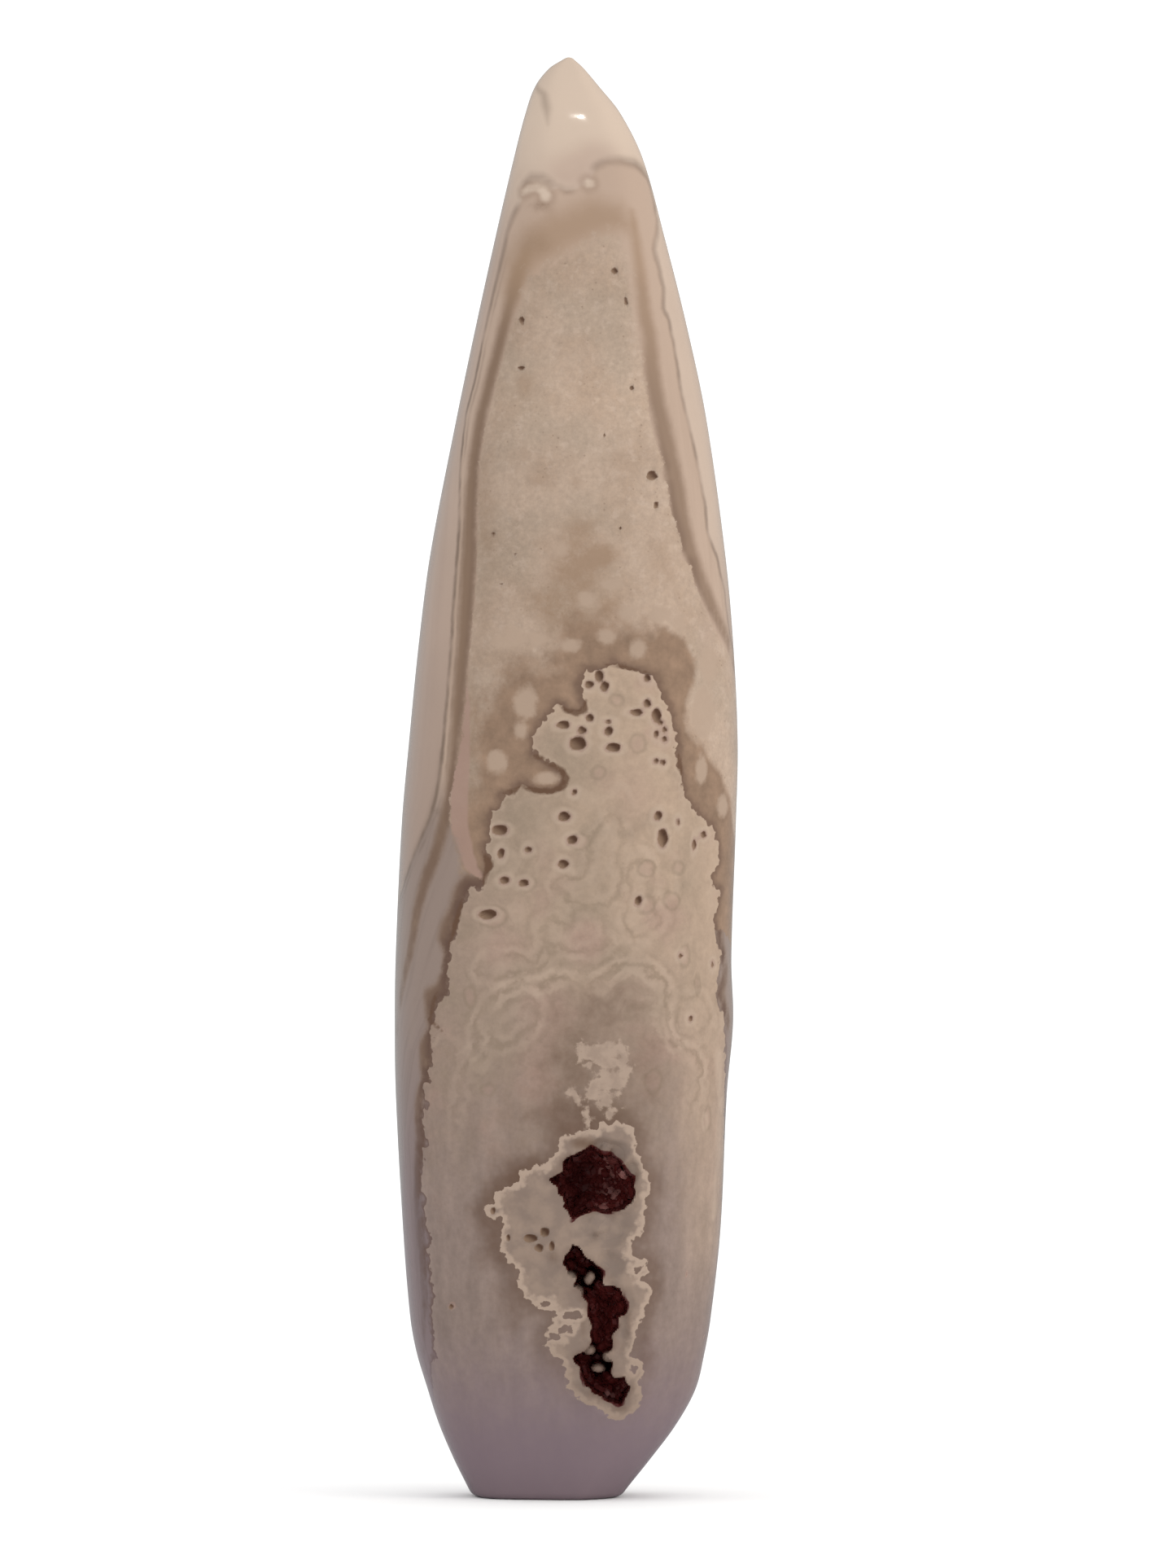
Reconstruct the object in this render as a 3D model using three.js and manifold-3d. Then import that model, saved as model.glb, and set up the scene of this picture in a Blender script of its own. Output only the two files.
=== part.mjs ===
// A polished free-form flame of crazy lace agate, standing on a flat sawn foot.
// Millimetres, +Z up, the broad front face towards -Y. The origin is on the ground plane, under
// the middle of the stone's bounding box.
//
// The stone is one solid. Its front opens into two crystal-lined hollows with rounded white lumps
// in and between them, and into a scatter of small tube pits. The druse of each hollow is a crust
// of its own that follows the hollow's floor.
import * as THREE from "three";
import { mergeVertices } from "three/addons/utils/BufferGeometryUtils.js";
import Module from "manifold-3d";

const wasm = await Module();
wasm.setup();

// ---- driving dimensions -------------------------------------------------------------------
const HEIGHT = 160; // from the foot to the tip
const FOOT_ROUNDING = 0.7; // radius of the polished edge round the foot
const SIDES = 44; // faces round the stone
const RINGS = 45; // rings of faces up the stone

// Outline of the stone: [height, left edge, right edge], seen from the front.
const OUTLINE = [
  [0, -10.5, 6.1],
  [1, -11.0, 6.8],
  [4, -12.5, 9.2],
  [8, -14.2, 12.2],
  [12, -15.5, 14.4],
  [16, -16.7, 15.4],
  [20, -17.4, 16.1],
  [30, -18.2, 17.2],
  [45, -19.0, 17.9],
  [53, -19.1, 18.6],
  [60, -19.0, 18.4],
  [75, -18.3, 18.9],
  [84, -17.5, 19.1],
  [95, -16.4, 18.6],
  [105, -15.1, 17.7],
  [120, -12.2, 15.6],
  [130, -10.1, 13.5],
  [140, -7.9, 11.0],
  [149, -5.8, 8.5],
  [154, -4.5, 6.0],
  [157, -3.4, 3.6],
  [159, -1.8, 1.9],
  [160, -0.2, 0.8],
];

// Depth of the stone: [height, front edge, back edge], seen from the side.
const DEPTH = [
  [0, -8.6, 8.8],
  [4, -10.2, 10.2],
  [10, -12.2, 12.1],
  [18, -13.7, 13.7],
  [30, -14.5, 14.6],
  [50, -14.8, 14.8],
  [70, -14.6, 14.2],
  [90, -13.6, 12.8],
  [110, -11.4, 10.6],
  [130, -8.4, 7.8],
  [142, -6.4, 5.9],
  [150, -4.7, 4.5],
  [155, -3.3, 3.5],
  [158, -1.9, 2.3],
  [160, -0.2, 0.8],
];

// The soft facets: the way each one faces at the foot and at the tip, in degrees from +X
// towards +Y, and how far it stands from the middle, as a share of the half width.
const FACETS = [
  { foot: 4, tip: 8, reach: 1.0 },
  { foot: 50, tip: 58, reach: 1.06 },
  { foot: 92, tip: 100, reach: 1.0 },
  { foot: 138, tip: 142, reach: 1.08 },
  { foot: 182, tip: 186, reach: 1.0 },
  { foot: 216, tip: 224, reach: 1.1 },
  { foot: 259, tip: 270, reach: 1.0 },
  { foot: 318, tip: 326, reach: 1.12 },
];
const FACET_SHARPNESS = 11; // higher makes the edges between facets crisper

// Hollows and lumps on the front are ellipsoids: [x, z, half width, half height, depth].
// A hollow's middle lies in the front face, so it is half width by half height at the mouth.
const UPPER_HOLLOW = [
  [1.5, 35.0, 3.1, 3.3, 8.0],
  [4.6, 34.8, 3.1, 3.5, 9.0],
  [0.9, 32.7, 1.4, 2.0, 5.5],
];
const LOWER_HOLLOW = [
  [1.1, 26.2, 1.6, 1.9, 6.0],
  [2.9, 24.2, 2.1, 1.8, 6.6],
  [4.6, 21.4, 2.3, 2.3, 8.0],
  [4.1, 18.0, 1.6, 2.8, 7.6],
  [3.0, 14.5, 2.0, 2.4, 7.0],
  [5.1, 12.0, 2.0, 2.0, 6.2],
];
const LEDGES = [
  [4.3, 38.0, 3.1, 2.0, 2.0],
  [7.0, 35.6, 1.4, 2.6, 1.8],
  [3.6, 29.9, 4.2, 2.7, 1.7],
  [4.7, 25.6, 1.5, 2.4, 1.7],
  [6.6, 21.8, 1.1, 1.5, 1.6],
  [6.2, 18.2, 0.8, 2.6, 1.4],
  [1.4, 12.8, 1.2, 1.8, 1.4],
  [5.2, 10.4, 1.9, 1.3, 1.5],
];
// Lumps: the same, with the depth of the top below the front face and of the root.
const LUMPS = [
  [-1.0, 33.1, 0.9, 0.8, 0.5, 5.0],
  [4.4, 38.6, 0.9, 0.9, 0.9, 3.0],
  [1.9, 29.7, 1.3, 1.0, 0.7, 3.0],
  [3.7, 30.3, 1.3, 1.1, 0.6, 3.0],
  [5.6, 30.2, 1.3, 1.2, 0.8, 3.0],
  [4.8, 28.6, 1.1, 0.9, 0.9, 3.0],
  [0.3, 24.3, 1.0, 0.8, 0.4, 5.0],
  [1.2, 22.7, 0.9, 0.9, 0.4, 5.0],
  [2.5, 24.2, 0.6, 0.8, 0.8, 8.0],
  [2.8, 16.2, 0.7, 0.6, 0.8, 9.0],
  [4.8, 15.6, 0.9, 0.8, 0.6, 6.0],
  [3.7, 14.1, 0.7, 0.5, 0.9, 9.0],
];
// Tube pits: [x, z, half width, half height]; each is as deep as PIT_DEPTH.
const PIT_DEPTH = 1.2;
const PITS = [
  [1.2, 83.7, 0.9, 0.8],
  [4.8, 83.3, 0.9, 0.6],
  [4.7, 85.2, 0.55, 0.5],
  [3.8, 90.8, 0.6, 1.1],
  [-0.2, 75.6, 0.8, 0.6],
  [-7.3, 74.2, 0.9, 0.6],
  [10.6, 73.3, 0.6, 1.0],
  [10.1, 75.7, 0.5, 0.6],
  [-8.9, 65.1, 1.0, 0.6],
  [10.0, 87.0, 0.5, 0.8],
  [0.8, 20.1, 1.0, 0.5],
  [-3.7, 28.7, 0.7, 0.5],
];

// The druse: a crust on the floor of each hollow, with crystal points standing on it.
const CRUST_GAP = 0.3; // the crust stops this far from the stone's own wall
const CRUST_THICKNESS = 1.0;
const CRUST_TOP = 2.6; // the crust starts this far below the front face
const POINT_LENGTH = 1.5;
const POINT_RADIUS = 0.62;
const POINTS_PER_ELLIPSOID = 6;
const GOLDEN_ANGLE = Math.PI * (3 - Math.sqrt(5));

const COLOURS = { stone: 0xb09a88, druse: 0x35100f };

// ---- shape of the stone --------------------------------------------------------------------
// Value of column `column` of a table of [height, ...] rows, on a smooth curve through the rows.
function along(rows, column, z) {
  let i = 1;
  while (i < rows.length - 1 && z > rows[i][0]) i += 1;
  const slope = (k) => {
    const a = rows[Math.max(0, k - 1)];
    const b = rows[Math.min(rows.length - 1, k + 1)];
    return (b[column] - a[column]) / (b[0] - a[0]);
  };
  const [low, high] = [rows[i - 1], rows[i]];
  const span = high[0] - low[0];
  const t = (z - low[0]) / span;
  return (
    low[column] * (1 + 2 * t) * (1 - t) ** 2 +
    slope(i - 1) * span * t * (1 - t) ** 2 +
    high[column] * t * t * (3 - 2 * t) +
    slope(i) * span * t * t * (t - 1)
  );
}

// Point of the unit section at an angle: a polygon of the soft facets with rounded corners.
function unitSection(angle, share) {
  let sum = 0;
  for (const { foot, tip, reach } of FACETS) {
    const facing = THREE.MathUtils.degToRad(THREE.MathUtils.lerp(foot, tip, share));
    sum += Math.max(0, Math.cos(angle - facing) / reach) ** FACET_SHARPNESS;
  }
  const radius = sum ** (-1 / FACET_SHARPNESS);
  return [radius * Math.cos(angle), radius * Math.sin(angle)];
}

// Section of the stone at a height: angle -> [x, y], fitted between its edges at that height.
const EXTENT_SAMPLES = 180;
function section(z) {
  const share = z / HEIGHT;
  const samples = Array.from({ length: EXTENT_SAMPLES }, (_, i) =>
    unitSection((i / EXTENT_SAMPLES) * 2 * Math.PI, share),
  );
  const over = Math.max(0, FOOT_ROUNDING - z);
  const inset = FOOT_ROUNDING - Math.sqrt(FOOT_ROUNDING ** 2 - over ** 2);
  const edges = [
    [along(OUTLINE, 1, z) + inset, along(OUTLINE, 2, z) - inset],
    [along(DEPTH, 1, z) + inset, along(DEPTH, 2, z) - inset],
  ];
  const fit = edges.map(([low, high], axis) => {
    const values = samples.map((p) => p[axis]);
    const [least, most] = [Math.min(...values), Math.max(...values)];
    return (v) => low + ((v - least) / (most - least)) * (high - low);
  });
  return (angle) => unitSection(angle, share).map((v, axis) => fit[axis](v));
}

// Height of a ring: closer together at the foot and at the tip, where the outline turns.
function ringHeight(share) {
  return HEIGHT * (share - 0.12 * Math.sin(2 * Math.PI * share) * (1 - 0.35 * share));
}

function stoneGeometry() {
  const geometry = new THREE.CylinderGeometry(1, 1, 1, SIDES, RINGS);
  const position = geometry.getAttribute("position");
  const sections = new Map();
  for (let i = 0; i < position.count; i += 1) {
    const [x, y, z] = [position.getX(i), position.getY(i), position.getZ(i)];
    const height = ringHeight(THREE.MathUtils.clamp(y + 0.5, 0, 1));
    const key = height.toFixed(4);
    if (!sections.has(key)) sections.set(key, section(height));
    const onWall = Math.hypot(x, z) > 0.5;
    const around = Array.from({ length: 4 }, (_, k) => sections.get(key)((k * Math.PI) / 2));
    const middle = [0, 1].map((axis) => around.reduce((sum, p) => sum + p[axis], 0) / 4);
    const [px, py] = onWall ? sections.get(key)(Math.atan2(-z, x)) : middle;
    position.setXYZ(i, px, py, height);
  }
  return geometry;
}

// How far forward the stone's front face lies at x and height z.
const FACE_SAMPLES = 240;
function frontFace(x, z) {
  const at = section(z);
  let best = null;
  let previous = at(Math.PI);
  for (let i = 1; i <= FACE_SAMPLES; i += 1) {
    const next = at(Math.PI * (1 + i / FACE_SAMPLES));
    if (previous[0] <= x && x <= next[0]) {
      const share = (x - previous[0]) / (next[0] - previous[0]);
      best = THREE.MathUtils.lerp(previous[1], next[1], share);
    }
    previous = next;
  }
  return best;
}

// ---- solids --------------------------------------------------------------------------------
function solidOf(geometry) {
  geometry.deleteAttribute("normal");
  geometry.deleteAttribute("uv");
  const merged = mergeVertices(geometry, 1e-4);
  const triVerts = new Uint32Array(merged.index.array);
  const vertProperties = new Float32Array(merged.attributes.position.array);
  return new wasm.Manifold(new wasm.Mesh({ numProp: 3, vertProperties, triVerts }));
}

function meshOf(name, solid, material) {
  const { vertProperties, triVerts } = solid.getMesh();
  const geometry = new THREE.BufferGeometry();
  geometry.setAttribute("position", new THREE.BufferAttribute(vertProperties, 3));
  geometry.setIndex(new THREE.BufferAttribute(triVerts, 1));
  geometry.computeVertexNormals();
  const mesh = new THREE.Mesh(geometry, material);
  mesh.name = name;
  return mesh;
}

function ellipsoid([x, y, z], [rx, ry, rz], around, down) {
  const geometry = new THREE.SphereGeometry(1, around, down);
  geometry.scale(rx, ry, rz);
  geometry.translate(x, y, z);
  return solidOf(geometry);
}

const union = (solids) => solids.reduce((all, next) => all.add(next));

// Ellipsoids that open in the front face, each one smaller all round by `inset`.
function hollow(list, inset = 0, around = 12, down = 8) {
  const solids = list.map(([x, z, rx, rz, depth]) => {
    const centre = [x, frontFace(x, z), z];
    return ellipsoid(centre, [rx - inset, depth - inset, rz - inset], around, down);
  });
  return union(solids);
}

// Rounded lumps that stand up from the floor of a hollow or ledge, grown all round by `extra`.
function lumps(extra = 0) {
  const solids = LUMPS.map(([x, z, rx, rz, top, root]) => {
    const face = frontFace(x, z);
    const centre = [x, face + (top + root) / 2, z];
    return ellipsoid(centre, [rx + extra, (root - top) / 2 + extra, rz + extra], 8, 6);
  });
  return union(solids);
}

function pits() {
  const solids = PITS.map(([x, z, rx, rz]) =>
    ellipsoid([x, frontFace(x, z), z], [rx, PIT_DEPTH, rz], 6, 4),
  );
  return union(solids);
}

// Crystal points on the floor of a hollow, spread by the golden angle over each ellipsoid.
function crystalPoints(list) {
  const points = [];
  for (const [x, z, rx, rz, depth] of list) {
    const centre = new THREE.Vector3(x, frontFace(x, z), z);
    const inner = new THREE.Vector3(rx, depth, rz).subScalar(CRUST_GAP + CRUST_THICKNESS);
    for (let i = 0; i < POINTS_PER_ELLIPSOID; i += 1) {
      const inward = 0.35 + (0.65 * (i + 0.5)) / POINTS_PER_ELLIPSOID;
      const ring = Math.sqrt(1 - inward * inward);
      const turn = i * GOLDEN_ANGLE;
      const way = new THREE.Vector3(ring * Math.cos(turn), inward, ring * Math.sin(turn));
      const root = centre.clone().add(way.clone().multiply(inner));
      const facing = way.clone().divide(inner).normalize().negate();
      const geometry = new THREE.CylinderGeometry(0, POINT_RADIUS, POINT_LENGTH, 6);
      geometry.translate(0, POINT_LENGTH / 2 - 0.3, 0);
      const turned = new THREE.Quaternion();
      turned.setFromUnitVectors(new THREE.Vector3(0, 1, 0), facing);
      geometry.applyQuaternion(turned);
      geometry.translate(root.x, root.y, root.z);
      points.push(solidOf(geometry));
    }
  }
  return union(points);
}

// The crust of a hollow: a shell on its floor and its crystal points, kept off the stone.
function druse(list) {
  const outer = hollow(list, CRUST_GAP, 10, 6);
  const shell = outer.subtract(hollow(list, CRUST_GAP + CRUST_THICKNESS, 8, 6));
  const [x, z] = list[0];
  const reach = 60;
  const front = new THREE.BoxGeometry(reach, reach, reach);
  front.translate(0, frontFace(x, z) + CRUST_TOP - reach / 2, z);
  const crust = shell.add(crystalPoints(list).intersect(outer)).subtract(solidOf(front));
  const parts = crust.subtract(lumps(CRUST_GAP)).decompose();
  return parts.sort((a, b) => b.volume() - a.volume())[0];
}

// ---- the part ------------------------------------------------------------------------------
const stoneMaterial = new THREE.MeshStandardMaterial({
  color: COLOURS.stone,
  roughness: 0.15,
  metalness: 0,
});
const druseMaterial = new THREE.MeshStandardMaterial({
  color: COLOURS.druse,
  roughness: 0.12,
  metalness: 0,
});

const hollows = union([hollow(UPPER_HOLLOW), hollow(LOWER_HOLLOW), hollow(LEDGES, 0, 12, 6)]);
const stone = solidOf(stoneGeometry()).subtract(hollows).add(lumps()).subtract(pits());

const agate = new THREE.Group();
agate.add(meshOf("agate_stone", stone, stoneMaterial));
agate.add(meshOf("upper_druse", druse(UPPER_HOLLOW), druseMaterial));
agate.add(meshOf("lower_druse", druse(LOWER_HOLLOW), druseMaterial));

export default agate;
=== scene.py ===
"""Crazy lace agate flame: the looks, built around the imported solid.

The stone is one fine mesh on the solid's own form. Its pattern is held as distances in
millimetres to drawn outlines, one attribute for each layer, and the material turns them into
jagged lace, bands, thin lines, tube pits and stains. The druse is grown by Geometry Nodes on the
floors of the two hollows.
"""

import math
from functools import cached_property

import bmesh
import bpy
import numpy as np
from bpy.props import FloatProperty, FloatVectorProperty, IntProperty, PointerProperty
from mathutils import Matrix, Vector


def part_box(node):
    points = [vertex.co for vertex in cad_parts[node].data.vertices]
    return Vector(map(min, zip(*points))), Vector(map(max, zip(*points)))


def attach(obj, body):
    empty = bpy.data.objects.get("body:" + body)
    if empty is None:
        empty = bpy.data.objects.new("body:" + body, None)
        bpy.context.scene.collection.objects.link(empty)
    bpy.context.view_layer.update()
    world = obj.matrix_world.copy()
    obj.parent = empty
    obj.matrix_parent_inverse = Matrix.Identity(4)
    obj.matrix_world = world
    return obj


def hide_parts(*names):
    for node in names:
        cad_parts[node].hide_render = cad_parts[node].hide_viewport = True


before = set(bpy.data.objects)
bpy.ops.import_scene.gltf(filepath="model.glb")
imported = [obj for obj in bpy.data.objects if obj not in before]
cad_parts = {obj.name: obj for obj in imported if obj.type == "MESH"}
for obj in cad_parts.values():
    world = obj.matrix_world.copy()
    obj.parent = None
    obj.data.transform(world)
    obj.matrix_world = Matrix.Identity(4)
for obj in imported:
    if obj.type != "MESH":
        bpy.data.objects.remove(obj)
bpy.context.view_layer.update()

bl_info = {
    "name": "Crazy lace agate flame",
    "version": (1, 0, 0),
    "blender": (4, 5, 0),
    "location": "3D View > Sidebar > Agate",
    "description": "Dresses the packed agate flame: polished stone, druse and a plain stage",
    "category": "Object",
}

STONE, UPPER_DRUSE, LOWER_DRUSE = "agate_stone", "upper_druse", "lower_druse"
MM = 0.001
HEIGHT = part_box(STONE)[1].z / MM
QUARTZ_IOR = 1.54
FAR = 1e3  # farther, in millimetres, than any point is from an outline
BEHIND = -9  # signed distance to the hollows for points on the back

# ---- the stone's form, in millimetres, as in the solid ---------------------------------------
FOOT_ROUNDING = 0.7
# Outline from the front: (height, left edge, right edge).
OUTLINE = [
    (0, -10.5, 6.1), (1, -11.0, 6.8), (4, -12.5, 9.2), (8, -14.2, 12.2), (12, -15.5, 14.4),
    (16, -16.7, 15.4), (20, -17.4, 16.1), (30, -18.2, 17.2), (45, -19.0, 17.9),
    (53, -19.1, 18.6), (60, -19.0, 18.4), (75, -18.3, 18.9), (84, -17.5, 19.1),
    (95, -16.4, 18.6), (105, -15.1, 17.7), (120, -12.2, 15.6), (130, -10.1, 13.5),
    (140, -7.9, 11.0), (149, -5.8, 8.5), (154, -4.5, 6.0), (157, -3.4, 3.6),
    (159, -1.8, 1.9), (160, -0.2, 0.8),
]
# Depth: (height, front edge, back edge).
DEPTH = [
    (0, -8.6, 8.8), (4, -10.2, 10.2), (10, -12.2, 12.1), (18, -13.7, 13.7), (30, -14.5, 14.6),
    (50, -14.8, 14.8), (70, -14.6, 14.2), (90, -13.6, 12.8), (110, -11.4, 10.6),
    (130, -8.4, 7.8), (142, -6.4, 5.9), (150, -4.7, 4.5), (155, -3.3, 3.5), (158, -1.9, 2.3),
    (160, -0.2, 0.8),
]
# Soft facets: (degrees at the foot, degrees at the tip, reach).
FACETS = [
    (4, 8, 1.0), (50, 58, 1.06), (92, 100, 1.0), (138, 142, 1.08), (182, 186, 1.0),
    (216, 224, 1.1), (259, 270, 1.0), (318, 326, 1.12),
]
FACET_SHARPNESS = 11

# Spacing of the mesh: (height, spacing up the stone) and (x, spacing across the front).
ROW_SPACING = [
    (0, 0.08), (1, 0.25), (3, 0.6), (7, 0.21), (41, 0.21), (44, 0.4), (63, 0.4), (66, 0.28),
    (93, 0.28), (97, 0.55), (138, 0.6), (150, 0.45), (157, 0.22), (160, 0.05),
]
COLUMN_SPACING = [
    (-19, 0.45), (-15, 0.4), (-11, 0.34), (-4, 0.28), (-2, 0.19), (8, 0.19), (10, 0.3),
    (16, 0.38), (19, 0.5),
]
BACK_SPACING = 1.05
REFERENCE_HEIGHT = 40.0  # the height where the columns are spaced out
CURVE_STEPS = 4  # points for each one of an outline with rounded corners
TURN_STEPS = 2880  # fine steps of a turn, for measuring round the section
SPACING_STEPS = 4000  # and of a table of spacings
FACET_STEPS = 180  # directions in which a section's reach is measured
# The outlines on the front were drawn as they look from a little above, and from not far off.
MIDDLE = 79.3  # the height where they need no stretching
FRONT_GROWTH = 1.006  # and how much they are stretched away from it
FRONT_TILT = 0.026  # rise for each millimetre of depth
CAP_RINGS = (0.85, 0.6, 0.35, 0.15)  # rings of each end cap, as shares of its size
TIP_DOME = 0.15  # the top cap rises this much
SHARP_EDGE = math.radians(50)  # faces that meet at more than this are not smoothed together

# Ledges round the hollows: (x, z, half width, half height, depth).
LEDGES = [
    (4.3, 38.0, 3.1, 2.0, 1.7), (7.0, 35.6, 1.4, 2.6, 1.2), (3.6, 29.9, 4.2, 2.7, 1.5),
    (4.7, 25.6, 1.9, 2.6, 0.8), (6.4, 21.4, 1.4, 1.9, 0.7), (6.2, 18.2, 1.1, 2.8, 0.6),
    (1.4, 12.8, 1.5, 2.1, 0.7), (5.2, 10.4, 2.1, 1.5, 0.8), (-2.6, 25.0, 3.2, 3.0, 0.5),
    (-4.6, 31.6, 2.6, 2.2, 0.4),
]
# Rounded lumps: (x, z, half width, half height, depth of the top, depth of the root).
TALL = 5.0  # root of those that stand in the mouths of the hollows
LUMPS = [
    (4.4, 38.6, 0.9, 0.9, 0.9, 3.0),
    (1.9, 29.7, 1.5, 1.2, 0.9, 1.5), (3.7, 30.3, 1.6, 1.3, 0.8, 1.5),
    (5.6, 30.2, 1.6, 1.4, 1.0, 1.6), (4.8, 28.6, 1.4, 1.1, 1.0, 1.5),
    (0.3, 24.3, 1.0, 0.8, 0.4, TALL), (1.2, 22.7, 0.9, 0.9, 0.4, TALL),
    (2.5, 24.0, 0.65, 0.7, 0.5, TALL), (2.75, 24.35, 0.65, 0.7, 0.5, TALL),
    (2.6, 16.15, 0.85, 0.7, 0.5, TALL),
    (4.7, 15.4, 0.8, 0.75, 0.5, TALL), (3.6, 14.1, 0.95, 0.6, 0.5, TALL),
]
TALL_LUMPS = [lump[:4] for lump in LUMPS if lump[5] == TALL]
# Mouths of the two hollows, as outlines of (x, z), and how deep each one goes.
UPPER_MOUTH = [
    (-1.7, 35.2), (-0.5, 36.3), (0, 37.4), (1, 38.1), (2.5, 38.9), (3.6, 38.3), (5, 38),
    (6, 37.3), (6.5, 36.3), (7.4, 35.4), (7.6, 33.6), (7.2, 32.6), (5.4, 31.6), (3.5, 31.8),
    (2, 31.7), (0.8, 30.8), (0.1, 31.8), (-0.5, 32.4), (-0.1, 32.8), (-0.2, 33.4), (-0.9, 33.8),
    (-1.3, 34.7),
]
LOWER_MOUTH = [
    (0.9, 28), (1.8, 27), (3, 25.8), (3.9, 25), (4.1, 23.4), (6, 23), (6.8, 21.6), (6.5, 20.6),
    (5.9, 19.6), (5.2, 17.8), (5.1, 16.6), (4.2, 15.8), (5, 14.8), (5.2, 13.3), (6.6, 13),
    (7, 12.2), (6.6, 11), (6, 9.9), (4.6, 10.8), (3, 11.5), (2, 12.4), (1.6, 14), (1, 15.2),
    (2, 16), (3, 17.3), (2.8, 18.6), (2.6, 20.4), (2.2, 21.8), (1.7, 22.9), (0.9, 23.3),
    (1.2, 24.2), (0.4, 24.9), (-0.5, 25.9),
]
MOUTHS = ((UPPER_MOUTH, 8.5), (LOWER_MOUTH, 7.2))
MOUTH_LIP = 0.9  # depth of the sharp drop at a mouth's edge
MOUTH_WALL = 2.3  # how far in from its edge a mouth reaches its full depth
MOUTH_EDGE = (-0.12, 0.22)  # where the drop starts and where it is complete

# Tube pits: (x, z, half width, half height).
PITS = [
    (2.6, 90.4, 0.45, 0.4), (3.7, 91.3, 0.45, 0.7), (4.3, 90.2, 0.42, 0.5),
    (9, 91.1, 0.35, 0.35), (9, 88.3, 0.4, 0.4),
    (7.8, 87.3, 0.7, 0.35), (10, 86.9, 0.5, 0.8), (10.5, 86.1, 0.3, 0.3),
    (10.9, 85.4, 0.3, 0.3), (10, 84.9, 0.3, 0.4), (10.9, 84.3, 0.3, 0.3),
    (4.7, 85.2, 0.5, 0.45), (4.7, 86.3, 0.4, 0.22), (2.6, 86.7, 0.4, 0.4),
    (1.8, 85.3, 0.45, 0.4), (-0.3, 85.9, 0.7, 0.4), (1.3, 83.8, 0.9, 0.75),
    (5.2, 83.4, 0.8, 0.5), (10, 81.9, 0.3, 0.3), (10.7, 81.7, 0.3, 0.3),
    (0.9, 78.4, 0.25, 0.25), (-0.2, 75.7, 0.65, 0.5), (0.7, 73.1, 0.6, 0.5),
    (-0.3, 70.4, 0.6, 0.45), (-4.2, 72, 0.35, 0.35), (-7.2, 71.6, 0.4, 0.6),
    (-7.3, 74.2, 0.85, 0.55), (10.2, 75.8, 0.4, 0.5), (12.4, 75.1, 0.25, 0.35),
    (10.7, 73.3, 0.6, 1.0), (15.2, 73.7, 0.5, 0.4), (14.2, 72.6, 0.3, 0.7),
    (-8.7, 64.8, 1.0, 0.55), (-4.7, 68.3, 0.5, 0.4), (-6.8, 68.6, 0.5, 0.4),
    (8.0, 66.3, 0.42, 0.5), (12.7, 60.2, 0.3, 0.3), (13.8, 53.2, 0.33, 0.33),
    (16.3, 59.2, 0.3, 0.4), (-4.9, 131.0, 0.3, 0.5), (-4.9, 125.6, 0.6, 0.3),
    (6.6, 133.2, 0.25, 0.4), (5.4, 136.6, 0.35, 0.35), (9.5, 113.7, 0.7, 0.5),
    (10.0, 110.4, 0.35, 0.35), (-8.0, 107.1, 0.3, 0.3), (7.3, 123.5, 0.3, 0.25),
    (-5.3, 119.1, 0.35, 0.25), (-12.7, 21.0, 0.35, 0.3), (-3.9, 28.7, 0.75, 0.45),
    (-2.4, 29.4, 0.5, 0.5), (-3.0, 27.6, 0.5, 0.45), (-1.6, 27.8, 0.3, 0.5),
    (-6.4, 28.7, 0.25, 0.35), (-8.1, 31.8, 0.25, 0.4), (17.2, 43.4, 0.2, 0.3),
    (17.3, 38.6, 0.2, 0.4), (17.0, 34.4, 0.2, 0.35), (16.7, 27.2, 0.22, 0.35),
    (16.0, 22.0, 0.2, 0.3), (15.2, 17.6, 0.2, 0.25), (15.4, 41.6, 0.15, 0.25),
    (13.4, 24.6, 0.15, 0.2), (-4.4, 118.4, 0.15, 0.15), (1.0, 122.0, 0.2, 0.15),
    (4.3, 118.2, 0.15, 0.2), (-7.2, 101.6, 0.2, 0.15), (-6.2, 108.8, 0.12, 0.2),
    (2.6, 125.4, 0.15, 0.15), (-5.6, 104.8, 0.2, 0.18), (6.0, 107.8, 0.18, 0.15),
]
BACK_PITS = [
    (-6.0, 70.5, 0.6, 0.5), (-3.2, 74.6, 0.4, 0.4), (-1.2, 70.2, 0.8, 0.5),
    (3.1, 73.4, 0.5, 0.6),
    (5.0, 68.2, 0.4, 0.4), (2.2, 66.8, 0.5, 0.4), (-8.5, 62.2, 0.9, 0.6), (-5.2, 63.8, 0.4, 0.3),
    (9.2, 60.4, 0.5, 0.7), (10.6, 57.0, 0.4, 0.4), (-10.8, 52.2, 0.5, 0.4),
    (12.0, 47.4, 0.4, 0.5), (-3.6, 101.0, 0.4, 0.3), (4.8, 112.5, 0.3, 0.4),
    (-2.8, 124.0, 0.3, 0.3), (7.4, 96.6, 0.3, 0.3),
]
PIT_FLOOR = 0.6  # depth of the deepest tube pits
PIT_DEPTH = 0.9  # depth of the small ones, for each half width
RELIEF_REACH = 12  # the ledges and hollows lie within this distance of the middle
# Ripples that make shapes uneven: (how far they move a place, size and phase of the wave that
# moves it sideways, size and phase of the wave that moves it up).
LEDGE_RIPPLE = (0.25, (1.3, 1.0), (1.1, 3.0))
MOUTH_RIPPLE = (0.22, (0.9, 0.4), (0.8, 2.1))
PIT_RIPPLE = (0.07, (0.55, 1.7), (0.6, 4.4))
FLOOR_RIPPLE = (0.35, (0.7, 5.0))  # and of the hollows' floors, up and down

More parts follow.
